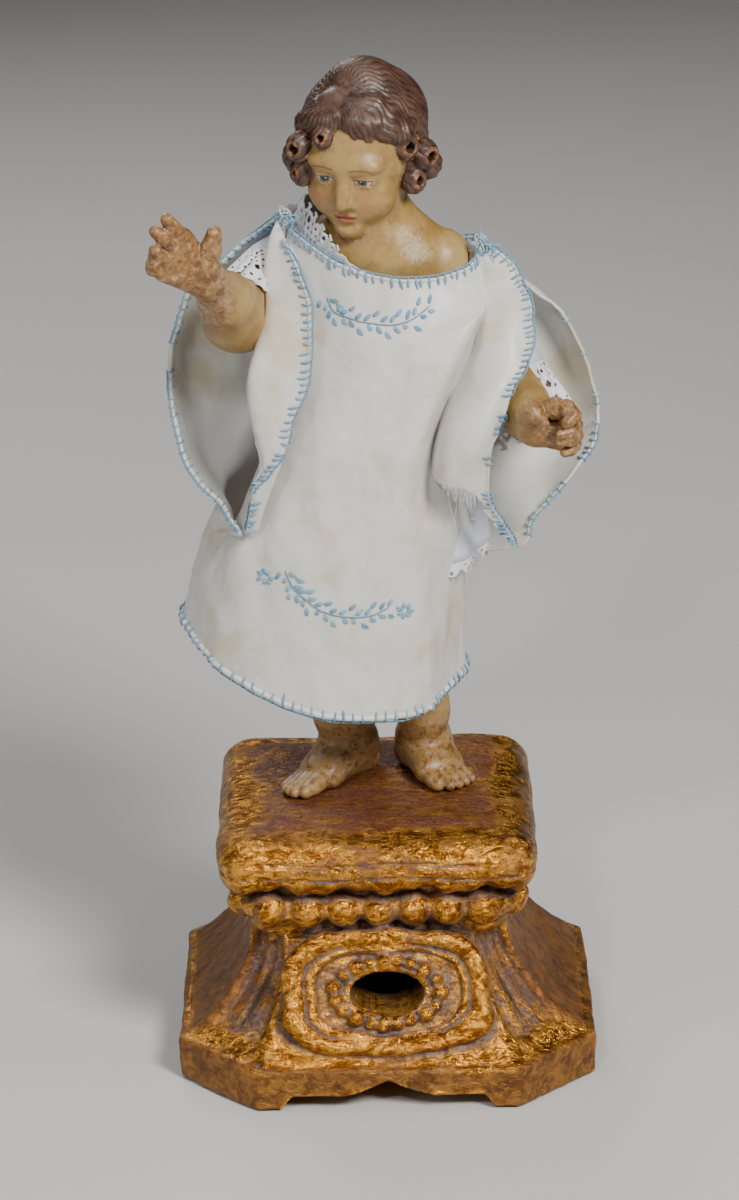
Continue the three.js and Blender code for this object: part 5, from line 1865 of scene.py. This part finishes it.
# The robe's stitched edges: a line running inward from each point of the edge, and how it is sewn.
# What stands in square brackets counts the rows and columns of the robe's sheets.
front, back, flap, strip, tongue = (robe_parts[name] for name in ("front", "back", "flap", "strip", "tongue"))
down_front, down_back, down_flap = (sheet.transpose(1, 0, 2) for sheet in (front, back, flap))
on_hem = {"spacing": 4.2, "reach": 4, "hem": WIDE_HEM}
edges = [
    (np.concatenate([down_front[:, :12], down_flap[1:, :12]]), {}),
    (down_front[:, ::-1], on_hem),
    (tongue.transpose(1, 0, 2)[:, ::-1], on_hem),
    (down_back[:, ::-1], on_hem),
    (down_back[30:-30], {}),
    (flap[:, ::-1], {"spacing": 2.6, "lost": [(0.47, 0.53), (0.60, 0.66), (0.72, 0.80)]}),
    (strip[:52, :12], {}),
    (np.array([strip[52 + k, k:k + 12] for k in range(14)]), {"spacing": 2.6}),
    (strip[66:76, 14:2:-1], {"spacing": 2.6}),
    (back[:76], {"spacing": 3.6, "lost": [(0.12, 0.18), (0.44, 0.49)], "hem": MIDDLE_HEM}),
    (back[:80, ::-1], {"lost": [(0.16, 0.34), (0.37, 0.46), (0.49, 0.61), (0.66, 0.71), (0.84, 0.88)]}),
]
sewing, hems, frays = Threads(), Threads(), Threads()
for lines, manner in edges:
    blanket_stitch(sewing, hems, lines, rng, **manner)
finder = cloth_finder(robe)
embroider(sewing, finder, rng)
for centre, size, loops in KNOTS:
    tie(sewing, centre, size, loops, rng)
keep(sewing.piece("stitching", blue), "blue_thread")
keep(hems.piece("rolled_hems", satin), "satin")

for centre, size, loops in KNOTS[:4:3]:
    tie(frays, centre, size * 1.3, 5, rng, 0.26)
fray_tear(frays, finder, tongue, rng)
# A bare cord down the fold of the sleeve under the raised hand
frays.add(strip[48:66:2, 14], 0.6, 0.0)
for x, z, reach in HANGING_FIBRES:
    fray(frays, (x, -31, z), (0.03, 0, -1), reach, rng, 0.2)
keep(frays.piece("loose_fibres", white), "satin")


# The photo's camera, a pale floor and soft light

CAMERA_PLACE = (-4.744, -1596.19, 768.78)
CAMERA_PITCH = 20.128
CAMERA_ROLL = -0.812
FOCAL_PIXELS = 4276.6
PHOTO_WIDTH = 739
SENSOR_WIDTH = 36
FLOOR_Z = -0.6
FLOOR_HALF = 9.0
FLOOR_SQUARES = 24

# Round lamps: [name, place, what it points at, width, power, tint].
LAMPS = [
    ["key", (0.8, -1.25, 1.4), (0, 0, 0.22), 0.6, 46, (1, 0.98, 0.95)],
    ["fill", (-1.3, -0.9, 0.8), (0, 0, 0.22), 1.0, 6, (0.93, 0.96, 1)],
    ["back", (-0.5, 1.3, 1.2), (0, 0, 0.25), 0.8, 9, (1, 1, 1)],
    ["glint", (-0.45, -1.5, 1.5), (0, 0, 0.1), 0.22, 10, (1, 1, 1)],
    ["top", (0, 0, 1.8), (0, 0, 0.2), 1.2, 6, (1, 1, 1)],
]


def add_camera():
    camera = bpy.data.cameras.new("camera")
    holder = bpy.data.objects.new("camera", camera)
    bpy.context.collection.objects.link(holder)
    pitch, roll = math.radians(CAMERA_PITCH), math.radians(CAMERA_ROLL)
    turn = Matrix.Rotation(math.pi / 2 - pitch, 4, "X") @ Matrix.Rotation(roll, 4, "Z")
    holder.matrix_world = Matrix.Translation(Vector(CAMERA_PLACE) * MM) @ turn
    camera.sensor_fit = "HORIZONTAL"
    camera.sensor_width = SENSOR_WIDTH
    camera.lens = FOCAL_PIXELS / PHOTO_WIDTH * SENSOR_WIDTH
    camera.clip_end = 50
    bpy.context.scene.camera = holder


def add_light(name, place, target, size, power, tint):
    light = bpy.data.lights.new(name, "AREA")
    light.shape = "DISK"
    light.size = size
    light.energy = power
    light.color = tint
    holder = bpy.data.objects.new(name, light)
    bpy.context.collection.objects.link(holder)
    holder.location = place
    aim = Vector(target) - Vector(place)
    holder.rotation_euler = aim.to_track_quat("-Z", "Y").to_euler()


def add_floor():
    count = FLOOR_SQUARES + 1
    steps = np.linspace(-FLOOR_HALF, FLOOR_HALF, count)
    points = [[x / MM, y / MM, FLOOR_Z] for y in steps for x in steps]
    index = np.arange(count ** 2).reshape(count, count)
    faces = np.stack([index[:-1, :-1], index[:-1, 1:], index[1:, 1:], index[1:, :-1]], -1).reshape(-1, 4)
    paint = Paint("floor")
    grain = paint.noise(paint.place(), 300, 2)
    color = paint.mix((0.55, 0.54, 0.52), (0.60, 0.59, 0.57), grain)
    floor = new_piece("floor", points, faces, paint.set(color=color, rough=0.8))


add_camera()
for lamp in LAMPS:
    add_light(*lamp)
add_floor()
